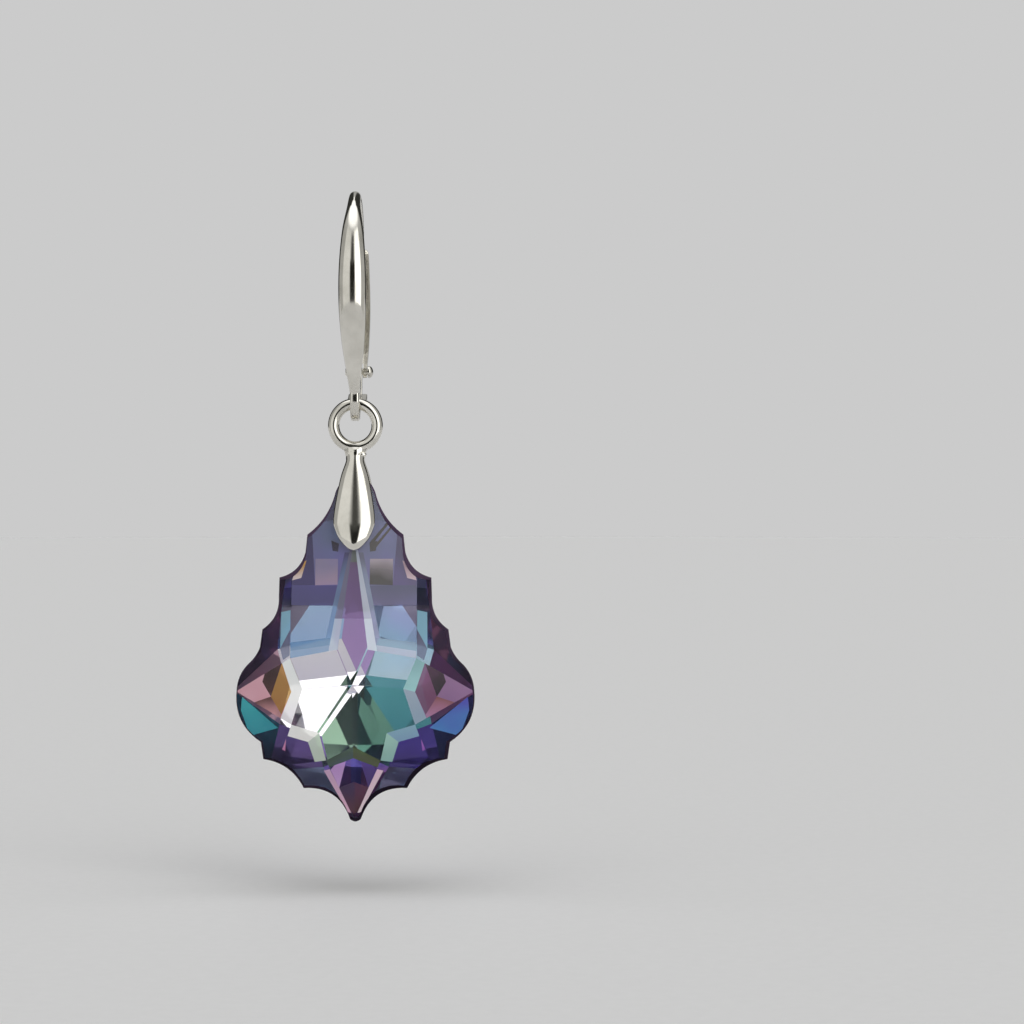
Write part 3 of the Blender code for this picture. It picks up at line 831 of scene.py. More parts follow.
@dataclass
class PinchBail:
    """The bail: a round ring, a short neck and two domed leaves that hold the crystal by two pegs."""

    face_depth: Callable[[float], float]
    ring_up: float
    hole_up: float
    ring: float = 3.46
    wire: float = 0.72
    neck_width: float = 1.24
    neck_depth: float = 1.10
    slit_size: Row = (0.62, 0.40, 0.09)
    slit_place: Row = (-0.18, -0.60, -0.30)
    slit_lean: float = -22.0
    bead: float = 0.48
    bead_place: Row = (0.42, -0.40, -0.48)
    bead_shape: Row = (1.25, 0.8, 0.8)
    leaf_width: float = 2.62
    leaf_length: float = 5.90
    leaf_dome: float = 0.52
    leaf_back: float = 0.16
    leaf_root: float = 0.33
    leaf_solder: float = 0.11
    leaf_clearance: float = 0.12
    peg: float = 0.60
    peg_tip: float = 0.504
    peg_nose: float = 0.06
    peg_gap: float = 1.25

    # Name, then drop, width and dome as shares of the leaf's length, width and dome.
    LEAF = (
        ("root", 0.000, 0.43, 0.80),
        ("collar", 0.060, 0.45, 0.85),
        ("flare", 0.220, 0.68, 0.95),
        ("upper", 0.480, 0.90, 1.00),
        ("widest", 0.680, 1.00, 1.00),
        ("turn", 0.780, 0.91, 0.95),
        ("lower", 0.870, 0.73, 0.85),
        ("end", 0.945, 0.46, 0.64),
        ("tip", 0.985, 0.25, 0.44),
        ("point", 1.000, 0.08, 0.26),
    )
    # Drop as a share of the wire, and width and depth as shares of the neck's.
    NECK = ((0.0, 1.16, 0.72), (0.35, 1.14, 0.95), (0.75, 1.0, 1.0), (1.25, 0.94, 1.1))
    NECK_STEPS = 4

    @property
    def ring_radius(self) -> float:
        """The radius of the ring's centre line."""
        return (self.ring - self.wire) / 2

    @property
    def neck_top(self) -> float:
        """The height where the neck meets the ring's centre line."""
        return self.ring_up - self.ring_radius

    def by_neck(self, place: Row) -> Row:
        """Turn a place measured from the neck's top into metres."""
        return place[0] * MM, place[1] * MM, (self.neck_top + place[2]) * MM

    def hoop(self) -> Object:
        """Model the ring.

        Returns:
            The ring.
        """
        bpy.ops.mesh.primitive_torus_add(
            location=(0.0, 0.0, self.ring_up * MM), rotation=(pi / 2, 0.0, 0.0), major_segments=2 * ROUND,
            minor_segments=PIN_ROUND, major_radius=self.ring_radius * MM, minor_radius=self.wire / 2 * MM)
        return start("pinch_bail_ring")

    def neck(self) -> Object:
        """Model the neck, with the slit that the solder leaves open under the ring.

        Returns:
            The neck.
        """
        rings = []
        for drop, width, depth in smooth_rows(self.NECK, self.NECK_STEPS):
            centre = Vector((0.0, 0.0, self.neck_top - drop * self.wire))
            across, back = width * self.neck_width / 2, depth * self.neck_depth / 2
            rings.append([centre + Vector((across * c, back * s, 0.0)) for c, s in circle(ROUND)])
        made = loft("pinch_bail_neck", rings)
        bpy.ops.mesh.primitive_cube_add(size=MM, location=self.by_neck(self.slit_place), scale=self.slit_size,
                                        rotation=(0.0, radians(self.slit_lean), 0.0))
        combine(made, start("saddle_slit"))
        return made

    def solder(self) -> Object:
        """Model the small bead of solder at the right of the neck.

        Returns:
            The bead.
        """
        place = self.by_neck(self.bead_place)
        bpy.ops.mesh.primitive_uv_sphere_add(segments=PIN_ROUND, ring_count=PIN_ROUND // 2,
                                             radius=self.bead / 2 * MM, location=place)
        made = start("pinch_bail_solder")
        with editing(made):
            bpy.ops.transform.resize(value=self.bead_shape, center_override=place)
        return made

    def leaf(self, face: Face) -> Object:
        """Model one leaf.

        Args:
            face: The face of the crystal that it lies on.

        Returns:
            The leaf.
        """
        rows: list[Row] = []
        for _, drop, width, bulge in self.LEAF:
            up = self.neck_top - self.wire + self.leaf_solder - drop * self.leaf_length
            clear = max(self.face_depth(up) + self.leaf_clearance + self.leaf_back, self.leaf_root)
            rows.append((clear, up, width * self.leaf_width / 2, bulge * self.leaf_dome, self.leaf_back))
        return sweep(f"pinch_bail_{face.name.lower()}_leaf", rows, face)

    def pin(self, face: Face) -> Object:
        """Model the peg of one leaf.

        Args:
            face: The face of the crystal that it enters.

        Returns:
            The peg.
        """
        tip = self.peg_gap / 2
        root = self.face_depth(self.hole_up) + self.leaf_clearance + self.leaf_back
        ends = ((tip, self.peg_tip / 2), (tip + self.peg_nose, self.peg / 2), (root, self.peg / 2))
        rings = [[Vector((radius * c, face * back, self.hole_up + radius * s)) for c, s in circle(PIN_ROUND)]
                 for back, radius in ends]
        return loft(f"pinch_bail_{face.name.lower()}_peg", rings)

    def build(self, finish: Material) -> list[Object]:
        """Model, polish and hang the bail's pieces."""
        pieces = [self.hoop(), self.neck(), self.solder(),
                  *(part(face) for face in Face for part in (self.leaf, self.pin))]
        return polish(pieces, finish, "bail", "pinch_bail")


@dataclass(frozen=True)
class Zone:
    """A part of a facet with a finish of its own, given by its corners as X and height above the tip.

    A back zone is a coat of its own. A front zone is a thin film with some of the glass showing
    through, painted with the light and shade that the cut shows there: reflections of the coats
    and the room, glints and shadows. The colours run from the zone's lower end to its upper end,
    first for the right side and then for the left.
    """

    name: str
    facet: str
    corners: tuple[tuple[float, float], ...]
    right: tuple[str, str]
    left: tuple[str, str] | None
    clear: float = 0.0
    face: Face = Face.FRONT

    @property
    def edges(self) -> list[tuple[tuple[float, float], tuple[float, float]]]:
        """The pairs of corners round the zone."""
        return list(zip(self.corners, self.corners[1:] + self.corners[:1]))

    def finish(self, side: Side, tip_up: float) -> CoatOrPaintedFilm:
        """Give the zone's finish on one side.

        Args:
            side: The side.
            tip_up: The height of the crystal's tip.

        Returns:
            The finish.
        """
        low, high = self.right if side is Side.RIGHT else self.left
        heights = [tip_up + up for _, up in self.corners]
        # A front zone is a painted film: colour laid on the glass with no mirror, where reflections and shade
        # are drawn.
        film = {"roughness": 0.0, "mirror": 0.0, "clear": self.clear} if self.face is Face.FRONT else {}
        return CoatOrPaintedFilm(f"{self.name} {side.name.lower()}", low, high, low_up=min(heights),
                           high_up=max(heights), **film)

    def holds(self, across: float, up: float) -> bool:
        """Tell whether a place of the right side lies inside the corners."""
        turns = [(x2 - x1) * (up - z1) - (z2 - z1) * (across - x1) for (x1, z1), (x2, z2) in self.edges]
        return all(turn > 0 for turn in turns) or all(turn < 0 for turn in turns)


# Each back facet's coat: its lower and upper colour and their heights above the tip.
COATS = {
    "kite": ("#C8ACE0", "#B8AED0", 10.0, 19.0),
    "upper": ("#D6FAFF", "#C4F0FF", 8.6, 11.0),
    "upper_left": ("#FAF8FF", "#FFFFFF", 8.6, 11.0),
    "lower": ("#4A9499", "#55A0A3", 6.0, 8.8),
    "lower_left": ("#FFFFFF", "#F8F8F8", 6.0, 8.8),
    "base": ("#5C947C", "#6CA088", 4.0, 8.0),
    "base_left": ("#84A68C", "#7E9C84", 4.0, 8.0),
    "upper field": ("#B8E4FF", "#C4DAFF", 10.5, 13.0),
    "upper field_left": ("#BCE0FF", "#C4E4FF", 10.5, 13.0),
    "lobe": ("#D89CD8", "#CC90CC", 6.5, 10.0),
    "lobe_left": ("#FFD4E0", "#FFCCDC", 6.5, 10.0),
    "lower field": ("#4A3880", "#5A44B0", 3.0, 6.0),
    "lower field_left": ("#5A4678", "#6E549C", 3.0, 6.0),
    "base kite": ("#A84A80", "#5A4494", 0.8, 4.2),
    "upper wing": ("#84607C", "#9A7088", 9.0, 16.0),
    "upper wing_left": ("#7A5A74", "#9C7090", 9.0, 16.0),
    "lower wing": ("#2A2C60", "#4A5FB8", 3.5, 8.0),
    "lower wing_left": ("#1A3F54", "#2A8FA4", 3.5, 8.0),
    "low bevel": ("#8C96A8", "#9088A8", 1.0, 4.0),
    "low bevel_left": ("#8C98A8", "#8A96B0", 1.0, 4.0),
}

# In the order in which they are laid: name, facet, corners, colours on the right and on the left,
# and the share of a front film that is clear. The front films are painted light and shade: the
# reflections, glints and shadows that the cut shows from the front; the back zones are coats.
ZONES = (
    Zone("slate", "upper field", ((0.00, 13.70), (3.92, 13.70), (3.92, 14.95), (0.00, 14.95)),
         ("#6E6898", "#5E6084"), ("#605C94", "#6660A0"), 0.45),
    Zone("veil", "upper field", ((0.00, 14.95), (3.92, 14.95), (3.92, 18.40), (0.00, 19.40)),
         ("#8884BC", "#7E88B0"), ("#8A80C0", "#828CB4"), 0.52),
    Zone("collar", "upper field", ((0.00, 19.40), (3.92, 18.40), (3.92, 23.00), (0.00, 23.00)),
         ("#7C84AC", "#3E3454"), ("#7C7CA8", "#3E3454"), 0.55),
    Zone("side shade", "upper field", ((2.43, 14.95), (3.92, 14.95), (3.92, 16.80), (2.75, 19.20)),
         ("#6C5E96", "#4C466C"), ("#585088", "#4C466C"), 0.50),
    # Painted reflections: soft pale patches on the upper field, dark at the lower right.
    Zone("pink patch", "upper field", ((1.00, 15.00), (2.43, 14.95), (2.43, 16.60), (1.00, 16.60)),
         ("#4C4640", "#DCCAD4"), ("#D8BED6", "#BCB0D0"), 0.60),
    # Painted glints at the shoulders of the upper field.
    Zone("tip glint", "upper field", ((3.00, 16.50), (3.32, 15.40), (3.90, 15.25), (3.60, 16.20)),
         ("#E8CCD4", "#A88898"), ("#F0DCD8", "#CC9A58"), 0.30),
    Zone("field side", "upper field", ((1.45, 11.2), (0.26, 17.0), (0.58, 17.0), (1.80, 11.2)),
         ("#A8BCDC", "#6A6A88"), ("#8AADD8", "#5E5A84"), 0.45),
    # Painted reflections: light bands along the kite and the shelf, where the facets double the star's lines.
    Zone("kite band", "upper field", ((0.67, 12.90), (0.93, 11.00), (1.50, 10.90), (1.15, 12.90)),
         ("#DCEAF4", "#DCEAF4"), ("#C8D4E8", "#C0CCE0"), 0.30),
    Zone("kite band top", "upper field", ((0.05, 17.60), (0.67, 12.90), (1.15, 12.90), (0.24, 17.20)),
         ("#C4CEDE", "#B0B8CE"), ("#80809C", "#736E8A"), 0.35),
    Zone("shelf", "upper field", ((1.50, 10.89), (3.93, 10.43), (3.97, 10.87), (1.45, 11.27)),
         ("#C8C8E0", "#C4C4DC"), ("#8CB0D8", "#92B0D6"), 0.45),
    Zone("upper shelf", "upper field", ((1.45, 11.27), (3.97, 10.87), (3.98, 11.40), (1.40, 11.72)),
         ("#9DB4CC", "#98B0CC"), ("#6F9BC8", "#6F9BC8"), 0.60),
    Zone("kite film", "kite", ((-1.0, 12.9), (1.0, 12.9), (0.4, 16.4), (-0.4, 16.4)),
         ("#A088B8", "#98849E"), ("#A088B8", "#98849E"), 0.50),
    Zone("kite tip", "kite", ((-0.4, 16.4), (0.4, 16.4), (0.2, 19.0), (-0.2, 19.0)),
         ("#8E9490", "#868C8C"), ("#8E9490", "#868C8C"), 0.45),
    Zone("lobe film", "lobe", ((4.46, 10.15), (7.50, 8.24), (4.62, 6.50), (3.85, 8.34)),
         ("#94709C", "#A880AC"), ("#E8A8B4", "#EEBACA"), 0.22),
    Zone("amber side", "lobe", ((4.46, 10.15), (3.85, 8.34), (4.50, 6.90), (5.19, 8.00)),
         ("#7C4C70", "#865A80"), ("#B07C38", "#C49450"), 0.30),
    Zone("lobe shadow", "lobe", ((5.55, 9.55), (4.46, 10.12), (5.19, 8.00), (5.75, 8.90)),
         ("#2E2430", "#54384C"), ("#5A3A34", "#3A2A2E"), 0.35),
    Zone("lobe foot", "lobe", ((5.19, 8.00), (4.50, 6.90), (4.62, 6.52), (6.40, 7.55)),
         ("#C488B0", "#8A5230"), ("#D89CA0", "#6A4440"), 0.35),
    # Painted reflections: light bands along the star's edges, where the facets double its lines.
    Zone("upper side band", "lobe", ((3.93, 10.43), (3.13, 8.56), (3.85, 8.34), (4.46, 10.15)),
         ("#A8D8DC", "#7FA8AC"), ("#FFFFFF", "#F8FCFC"), 0.15),
    Zone("lower side band", "lobe", ((3.13, 8.56), (3.85, 6.30), (4.62, 6.50), (3.85, 8.34)),
         ("#98A8BE", "#A4B0C4"), ("#F8F4FC", "#FFFFFF"), 0.15),
    Zone("low band", "lower field", ((3.85, 6.30), (2.10, 5.80), (2.82, 5.22), (4.11, 5.57)),
         ("#84A8C4", "#8CB0C8"), ("#FFFFFA", "#FFFFFF"), 0.15),
    Zone("base side band", "lower field", ((2.10, 5.80), (1.70, 4.06), (2.34, 3.71), (2.82, 5.22)),
         ("#98C4BC", "#A8D0C8"), ("#CCDCCC", "#DCE8DC"), 0.20),
    Zone("foot band", "base kite", ((0.00, 4.95), (1.70, 4.06), (1.66, 3.55), (0.00, 4.20)),
         ("#4F5A30", "#4F5A38"), ("#3E544C", "#4A5F55"), 0.30),
    # Painted highlight: a light sliver on the upper wing.
    Zone("wing sliver", "upper wing", ((4.57, 13.25), (3.96, 13.40), (3.96, 12.20), (4.60, 11.00)),
         ("#9CD0E8", "#98CCE4"), ("#98CCE4", "#98CCE4"), 0.35),
    Zone("wing mauve", "upper wing", ((3.96, 12.20), (4.60, 11.00), (4.40, 10.30), (3.96, 10.60)),
         ("#8488A4", "#7A7494"), ("#8890AC", "#75708F"), 0.45),
    Zone("teal cheek", "lower wing", ((7.10, 7.90), (4.72, 6.05), (6.60, 5.45), (7.19, 7.05)),
         ("#4A8FD8", "#5A5FD0"), ("#1C9FB4", "#3AC0CC"), 0.30),
    # Painted highlight: a light sliver at the hip.
    Zone("hip sliver", "lower field", ((4.83, 5.66), (4.20, 5.48), (4.28, 4.60), (4.84, 4.90)),
         ("#A060C0", "#D080D8"), ("#E08CC4", "#F0A8D0"), 0.30),
    # Painted highlight: a light sliver along the point.
    Zone("point sliver", "low bevel", ((1.48, 3.50), (1.86, 3.40), (0.40, 0.72), (0.14, 0.66)),
         ("#FBE4EE", "#F0CCE0"), ("#F0C0DC", "#D8B0D0"), 0.20),
    # Painted shadow and reflection of the bail: dark bars and blots beside the hole, round the bail's foot.
    Zone("drill shadow", "upper field", ((0.95, 17.60), (2.11, 19.00), (2.20, 18.86), (1.06, 17.42)),
         ("#3A322C", "#2E2620"), None, 0.25),
    Zone("drill line", "upper field", ((1.15, 17.30), (2.25, 18.62), (2.31, 18.50), (1.24, 17.14)),
         ("#4A3F38", "#3A3028"), None, 0.30),
    Zone("drill blot", "upper field", ((0.95, 17.55), (1.45, 17.75), (1.35, 17.10), (1.00, 17.05)),
         ("#4E4844", "#3E3634"), ("#4A4458", "#3A3444"), 0.50),
    Zone("lilac slope", "base kite", ((1.18, 3.75), (1.60, 3.25), (0.91, 2.30), (0.47, 4.00)),
         ("#4A3080", "#543890"), ("#E4BCF4", "#D8A8EC"), 0.35),
    Zone("maroon point", "base kite", ((-0.05, 2.70), (1.00, 2.30), (0.40, 0.90), (-0.05, 0.60)),
         ("#5A2434", "#6A2C58"), ("#6A3450", "#4A2C60"), 0.50),
    Zone("upper zone", "upper field", ((0.00, 13.35), (3.92, 13.35), (3.92, 20.00), (0.00, 20.00)),
         ("#C4C0F0", "#C8D0F0"), ("#C4BCF4", "#B8B4E4"), face=Face.BACK),
    Zone("slate band", "upper field", ((0.20, 13.35), (3.92, 13.35), (3.92, 14.50), (0.20, 14.50)),
         ("#8A84A8", "#84889C"), ("#84889C", "#8A84AC"), face=Face.BACK),
    Zone("blue corner", "upper field", ((3.92, 11.15), (2.51, 13.35), (3.92, 13.35)),
         ("#A09AAC", "#A09AAC"), ("#A09AAC", "#A09AAC"), face=Face.BACK),
    Zone("violet core", "base kite", ((0.00, 4.60), (0.35, 4.60), (0.30, 2.40), (0.00, 2.40)),
         ("#4A40A0", "#4A4098"), ("#5A50B0", "#564CA4"), face=Face.BACK),
)


class Coat(IntEnum):
    """Places in the crystal's list of materials; the back facets' coats and the zones follow."""

    CLEAR = 0
    GIRDLE = 1
    DRILLED = 2
    FACETS = 3


@dataclass(frozen=True)
class Facet:
    """One plane of the cut: how fast the face falls away along X and Z, and its fall at the centre."""

    name: str
    slope: Vector
    fall: float

    def mirrored(self) -> "Facet":
        """Give the same facet on the other side of the axis."""
        return Facet(self.name + "_left", Vector((-self.slope.x, self.slope.y)), self.fall)

    def drop(self, place: Vector) -> float:
        """Give the facet's fall at a place."""
        return place.dot(self.slope) + self.fall

    def normal(self, face: Face) -> Vector:
        """Give the normal of the facet on one face of the crystal."""
        return Vector((self.slope.x, face, self.slope.y)).normalized()


@dataclass
class Crystal:
    """The baroque-cut pendant: a seven-petalled star on each face inside a fluted outline."""

    tip_up: float
    height: float = 22.0
    width: float = 15.0
    depth: float = 7.2
    cutting_room: float = 0.4
    hole_from_top: float = 3.9
    hole: float = 1.2
    petal_tilt: float = 15.0
    upper_turn: float = 30.0
    base_tilt: float = 13.9
    girdle_taper: float = 14.0

    # The petals' coats and the upper fields' are nearer to a mirror than the others.
    BRIGHT_MIRROR = 0.8
    # The share of the hole's radius within which a wall belongs to it.
    NEAR_HOLE = 1.02
    # The corners of the right side's facets, as X and height above the tip.
    STAR = {
        "centre": (0.00, 8.84),
        "kite side": (0.93, 11.0),
        "kite top": (0.00, 18.0),
        "inner side": (3.13, 8.56),
        "upper outer": (3.93, 10.43),
        "lower outer": (3.85, 6.30),
        "lower inner": (2.10, 5.80),
        "base side": (1.70, 4.06),
        "base top": (0.00, 4.95),
        "lobe tip": (7.50, 8.24),
        "shoulder": (3.95, 15.8),
        "hip": (4.90, 3.60),
        "point": (0.00, 0.24),
    }
    # X as a share of half the width, height as a share of the height, and how far the run to
    # the next corner hollows, as a share of its length. Under LEAST_HOLLOW it is straight.
    OUTLINE = (
        (0.000, 1.000, -0.12), (0.167, 0.945, 0.09), (0.404, 0.823, -0.02), (0.420, 0.773, 0.15),
        (0.639, 0.700, -0.04), (0.644, 0.645, 0.14), (0.783, 0.551, -0.03), (0.803, 0.500, 0.06),
        (0.893, 0.455, -0.10), (1.000, 0.375, -0.15), (0.796, 0.228, 0.04), (0.775, 0.179, 0.13),
        (0.435, 0.096, 0.19), (0.045, 0.007, -0.08),
    )
    LEAST_HOLLOW = 0.05
    ARC_STEPS = 12
    # Metres within which the points of a cut merge, for the facets and for the zones.
    FACET_MERGE = 1e-8
    ZONE_MERGE = 1e-7

    @property
    def centre_up(self) -> float:
        """The height of the star's centre."""
        return self.tip_up + self.STAR["centre"][1]

    @property
    def hole_up(self) -> float:
        """The height of the drilled hole."""
        return self.tip_up + self.height - self.hole_from_top

    def star(self, name: str, side: Side = Side.RIGHT) -> Vector:
        """Give a corner of the star as X and height above the centre."""
        across, up = self.STAR[name]
        return Vector((side * across, up - self.STAR["centre"][1]))

    def petals(self) -> dict[str, Vector]:
        """Work out the slopes of the petals of one side from the tilt of the upper one.

        The edge between two petals runs square to the difference of their slopes, so the
        corners at the petals' edges fix one part of each further slope.

        Returns:
            Each petal's slope by name.
        """
        tilt = tan(radians(self.petal_tilt))
        turn = radians(self.upper_turn)
        upper = Vector((tilt * cos(turn), tilt * sin(turn)))
        edge = self.star("kite side")
        kite = Vector((0.0, upper.y + upper.x * edge.x / edge.y))
        edge = self.star("inner side")
        lower = Vector((upper.x + 2 * upper.y * edge.y / edge.x, -upper.y))
        edge = self.star("lower inner")
        drop = -tan(radians(self.base_tilt))
        base = Vector((lower.x + (lower.y - drop) * edge.y / edge.x, drop))
        return {"kite": kite, "upper": upper, "lower": lower, "base": base}

    def facets(self) -> list[Facet]:
        """Work out all facets of one face.

        Returns:
            The facets of the right half and the middle, then those of the left half.
        """
        made = {name: Facet(name, slope, 0.0) for name, slope in self.petals().items()}

        def through(name: str, *corners: tuple[str, str], side: Side = Side.RIGHT) -> None:
            """Add the facet through three corners, each with its fall on an earlier facet.

            Args:
                name: The facet's name.
                *corners: Three pairs of a corner and the facet that it lies on.
                side: The side of the last corner.
            """
            falls = [made[on].drop(self.star(corner)) for corner, on in corners]
            first, second = (self.star(corner) for corner, _ in corners[:2])
            third = self.star(corners[2][0], side)
            one, two = second - first, third - first
            rise, more = falls[1] - falls[0], falls[2] - falls[0]
            area = one.x * two.y - one.y * two.x
            slope = Vector(((rise * two.y - more * one.y) / area, (more * one.x - rise * two.x) / area))
            made[name] = Facet(name, slope, falls[0] - slope.dot(first))

        through("upper field", ("kite top", "kite"), ("kite side", "kite"), ("upper outer", "upper"))
        through("lobe", ("inner side", "upper"), ("upper outer", "upper"), ("lower outer", "lower"))
        through("lower field", ("lower outer", "lower"), ("lower inner", "lower"), ("base side", "base"))
        through("base kite", ("base top", "base"), ("base side", "base"), ("base side", "base"),
                side=Side.LEFT)
        through("upper wing", ("upper outer", "upper"), ("lobe tip", "lobe"), ("shoulder", "upper field"))
        through("lower wing", ("lower outer", "lower"), ("lobe tip", "lobe"), ("hip", "lower field"))
        through("low bevel", ("base side", "base"), ("hip", "lower field"), ("point", "base kite"))
        middle = ("kite", "base kite")
        return list(made.values()) + [facet.mirrored() for name, facet in made.items() if name not in middle]

    def half_depth(self, up: float) -> float:
        """Give half the crystal's depth on its axis at a height."""
        place = Vector((0.0, up - self.centre_up))
        return self.depth / 2 - max(facet.drop(place) for facet in self.facets())

    def outline(self) -> list[Vector]:
        """List the outline's points all the way round.

        Returns:
            The points as X and height.
        """
        corners = [Vector((across * self.width / 2, self.tip_up + up * self.height))
                   for across, up, _ in self.OUTLINE]
        corners.append(Vector((0.0, self.tip_up)))
        right: list[Vector] = []
        for (_, _, hollow), begin, end in zip(self.OUTLINE, corners, corners[1:]):
            chord = end - begin
            inward = Vector((-chord.y, chord.x))
            for step in range(self.ARC_STEPS if abs(hollow) > self.LEAST_HOLLOW else 1):
                t = step / self.ARC_STEPS
                right.append(begin + chord * t - inward * hollow * 4 * t * (1 - t))
        return right + [corners[-1]] + [Vector((-point.x, point.y)) for point in reversed(right[1:])]

    def blank(self) -> Object:
        """Model the fluted blank that bounds the facets, tapered to both faces.

        Returns:
            The blank.
        """
        points = self.outline()
        half = (self.depth + self.cutting_room) / 2 * MM
        small = 1 - (self.depth + self.cutting_room) * tan(radians(self.girdle_taper)) / self.width
        bpy.ops.mesh.primitive_circle_add(vertices=len(points), radius=MM, fill_type="NGON")
        made = start("outline_blank")
        for vertex, point in zip(made.data.vertices, points):
            vertex.co = (point.x * MM, -half, point.y * MM)
        middle = (0.0, 0.0, self.centre_up * MM)
        with editing(made):
            bpy.ops.transform.resize(value=(small, 1.0, small), center_override=middle)
            for grow in (1 / small, small):
                bpy.ops.mesh.extrude_region_move(TRANSFORM_OT_translate={"value": (0.0, half, 0.0)})
                bpy.ops.transform.resize(value=(grow, 1.0, grow), center_override=middle)
            bpy.ops.mesh.select_all(action="SELECT")
            bpy.ops.mesh.normals_make_consistent(inside=False)
        return made

    def cut(self) -> Object:
        """Cut the facets of both faces from a block, then the outline and the drilled hole.

        Returns:
            The crystal without its finishes.
        """
        # The block stands out past the outline all round, and the blank trims it after the facets.
        bpy.ops.mesh.primitive_cube_add(size=MM, location=(0.0, 0.0, self.centre_up * MM),
                                        scale=(2 * self.width, self.depth, 3 * self.height))
        made = start("crystal_pendant_cut")
        with editing(made):
            for facet in self.facets():
                for face in Face:
                    bpy.ops.mesh.select_all(action="SELECT")
                    bpy.ops.mesh.bisect(
                        plane_co=(0.0, face * (self.depth / 2 - facet.fall) * MM, self.centre_up * MM),
                        plane_no=(facet.slope.x, float(face), facet.slope.y),
                        use_fill=True, clear_outer=True, threshold=self.FACET_MERGE)
        combine(made, self.blank(), Tool.BOUND)
        bpy.ops.mesh.primitive_cylinder_add(
            vertices=FINE_ROUND, radius=self.hole / 2 * MM, depth=2 * self.depth * MM,
            location=(0.0, 0.0, self.hole_up * MM), rotation=(pi / 2, 0.0, 0.0))
        combine(made, start("drill"))
        return made

    def lay(self, made: Object, zone: Zone, side: Side, normal: Vector) -> None:
        """Split a facet along a zone's edges and give the zone its finish.

        Args:
            made: The crystal.
            zone: The zone.
            side: The side that it is laid on.
            normal: The facet's normal.
        """
        mesh = made.data
        for (x1, z1), (x2, z2) in zone.edges:
            with editing(made, select_all=False):
                bpy.ops.mesh.select_mode(type="FACE")
                bpy.ops.mesh.select_all(action="DESELECT")
            for face in mesh.polygons:
                face.select = face.normal.dot(normal) > SAME_PLANE
            with editing(made, select_all=False):
                bpy.ops.mesh.bisect(
                    plane_co=(side * x1 * MM, 0.0, (self.tip_up + z1) * MM),
                    plane_no=Vector((z2 - z1, 0.0, -side * (x2 - x1))).normalized(),
                    threshold=self.ZONE_MERGE)
        mesh.materials.append(zone.finish(side, self.tip_up).material())
        for face in mesh.polygons:
            place = face.center / MM
            if face.normal.dot(normal) > SAME_PLANE and zone.holds(side * place.x, place.z - self.tip_up):
                face.material_index = len(mesh.materials) - 1

    def coats(self, facets: Sequence[Facet]) -> list[Finish]:
        """List the crystal's finishes in the order of Coat, with a coat for each back facet.

        Args:
            facets: The facets of one face.

        Returns:
            The finishes.
        """
        span = {"low_up": self.tip_up, "high_up": self.tip_up + self.height}
        made: list[Finish] = [
            ClearCrystal(),
            # Painted shade: the girdle is drawn dark and matt, with no reflection, for the dark rim of the
            # cut; lighter towards the top.
            CoatOrPaintedFilm("coated girdle", "#231C28", "#57465E", roughness=0.4, mirror=0.0, level=0.0, **span),
            CoatOrPaintedFilm("drilled wall", "#6B6560", "#8C8A86", roughness=0.35, **span)]
        for facet in facets:
            low, high, low_up, high_up = COATS[facet.name]
            bright = facet.fall == 0 or "upper field" in facet.name
            made.append(CoatOrPaintedFilm(
                "coated " + facet.name, low, high, low_up=self.tip_up + low_up,
                high_up=self.tip_up + high_up, mirror=self.BRIGHT_MIRROR if bright else CoatOrPaintedFilm.mirror))
        return made

    def dress(self, made: Object) -> None:
        """Give each facet its finish: clear in front, each back facet its own coat, then the zones.

        Args:
            made: The cut crystal.
        """
        facets = {facet.name: facet for facet in self.facets()}
        mesh = made.data
        mesh.materials.clear()
        for finish in self.coats(list(facets.values())):
            mesh.materials.append(finish.material())
        for face in mesh.polygons:
            fronts, backs = ([face.normal.dot(facet.normal(way)) > SAME_PLANE for facet in facets.values()]
                             for way in Face)
            from_hole = hypot(face.center.x / MM, face.center.z / MM - self.hole_up)
            if any(fronts):
                face.material_index = Coat.CLEAR
            elif any(backs):
                face.material_index = Coat.FACETS + backs.index(True)
            elif from_hole < self.hole / 2 * self.NEAR_HOLE:
                face.material_index = Coat.DRILLED
            else:
                face.material_index = Coat.GIRDLE
        for zone in ZONES:
            for side, colours in ((Side.RIGHT, zone.right), (Side.LEFT, zone.left)):
                own = facets.get(zone.facet + "_left") if side is Side.LEFT else None
                if colours:
                    self.lay(made, zone, side, (own or facets[zone.facet]).normal(zone.face))

    def build(self) -> list[Object]:
        """Model and dress the crystal.

        Returns:
            The finished piece in a list.
        """
        made = self.cut()
        self.dress(made)
        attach(made, "pendant")
        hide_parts("crystal_pendant")
        return [made]


@dataclass(frozen=True)
class SoftPatch:
    """A soft-edged light or flag far off, placed by its direction from the earring.

    Turn is measured from the camera's side towards the right and rise above the horizon,
    both in degrees, and light is its radiance.
    """

    name: str
    turn: float
    rise: float
    half_width: float
    half_height: float
    softness: float
    colour: str
    light: float = 1.0

    def lay(self, tree: NodeTree, turn: NodeSocket, rise: NodeSocket, under: NodeSocket) -> NodeSocket:
        """Lay the patch over what is there.

        Args:
            tree: The world's tree.
            turn: The direction's turn in radians.
            rise: The direction's rise in radians.
            under: The colour beneath.

        Returns:
            The colour with the patch on it.
        """
        shares = []
        for value, middle, half in ((turn, self.turn, self.half_width), (rise, self.rise, self.half_height)):
            off = add_node(tree, "Math", [value, radians(middle)], operation="SUBTRACT")[0]
            away = add_node(tree, "Math", [off], operation="ABSOLUTE")[0]
            edge = [away, radians(half + self.softness), radians(half), 0.0, 1.0]
            shares.append(add_node(tree, "MapRange", edge, interpolation_type="SMOOTHSTEP")[0])
        shape = add_node(tree, "Math", shares, operation="MULTIPLY")[0]
        lit = (*(part * self.light for part in linear(self.colour)[:3]), 1.0)
        layers = {"Factor": shape, MIX_UNDER: under, MIX_OVER: lit}
        return add_node(tree, "Mix", layers, data_type="RGBA")[MIX_COLOUR]


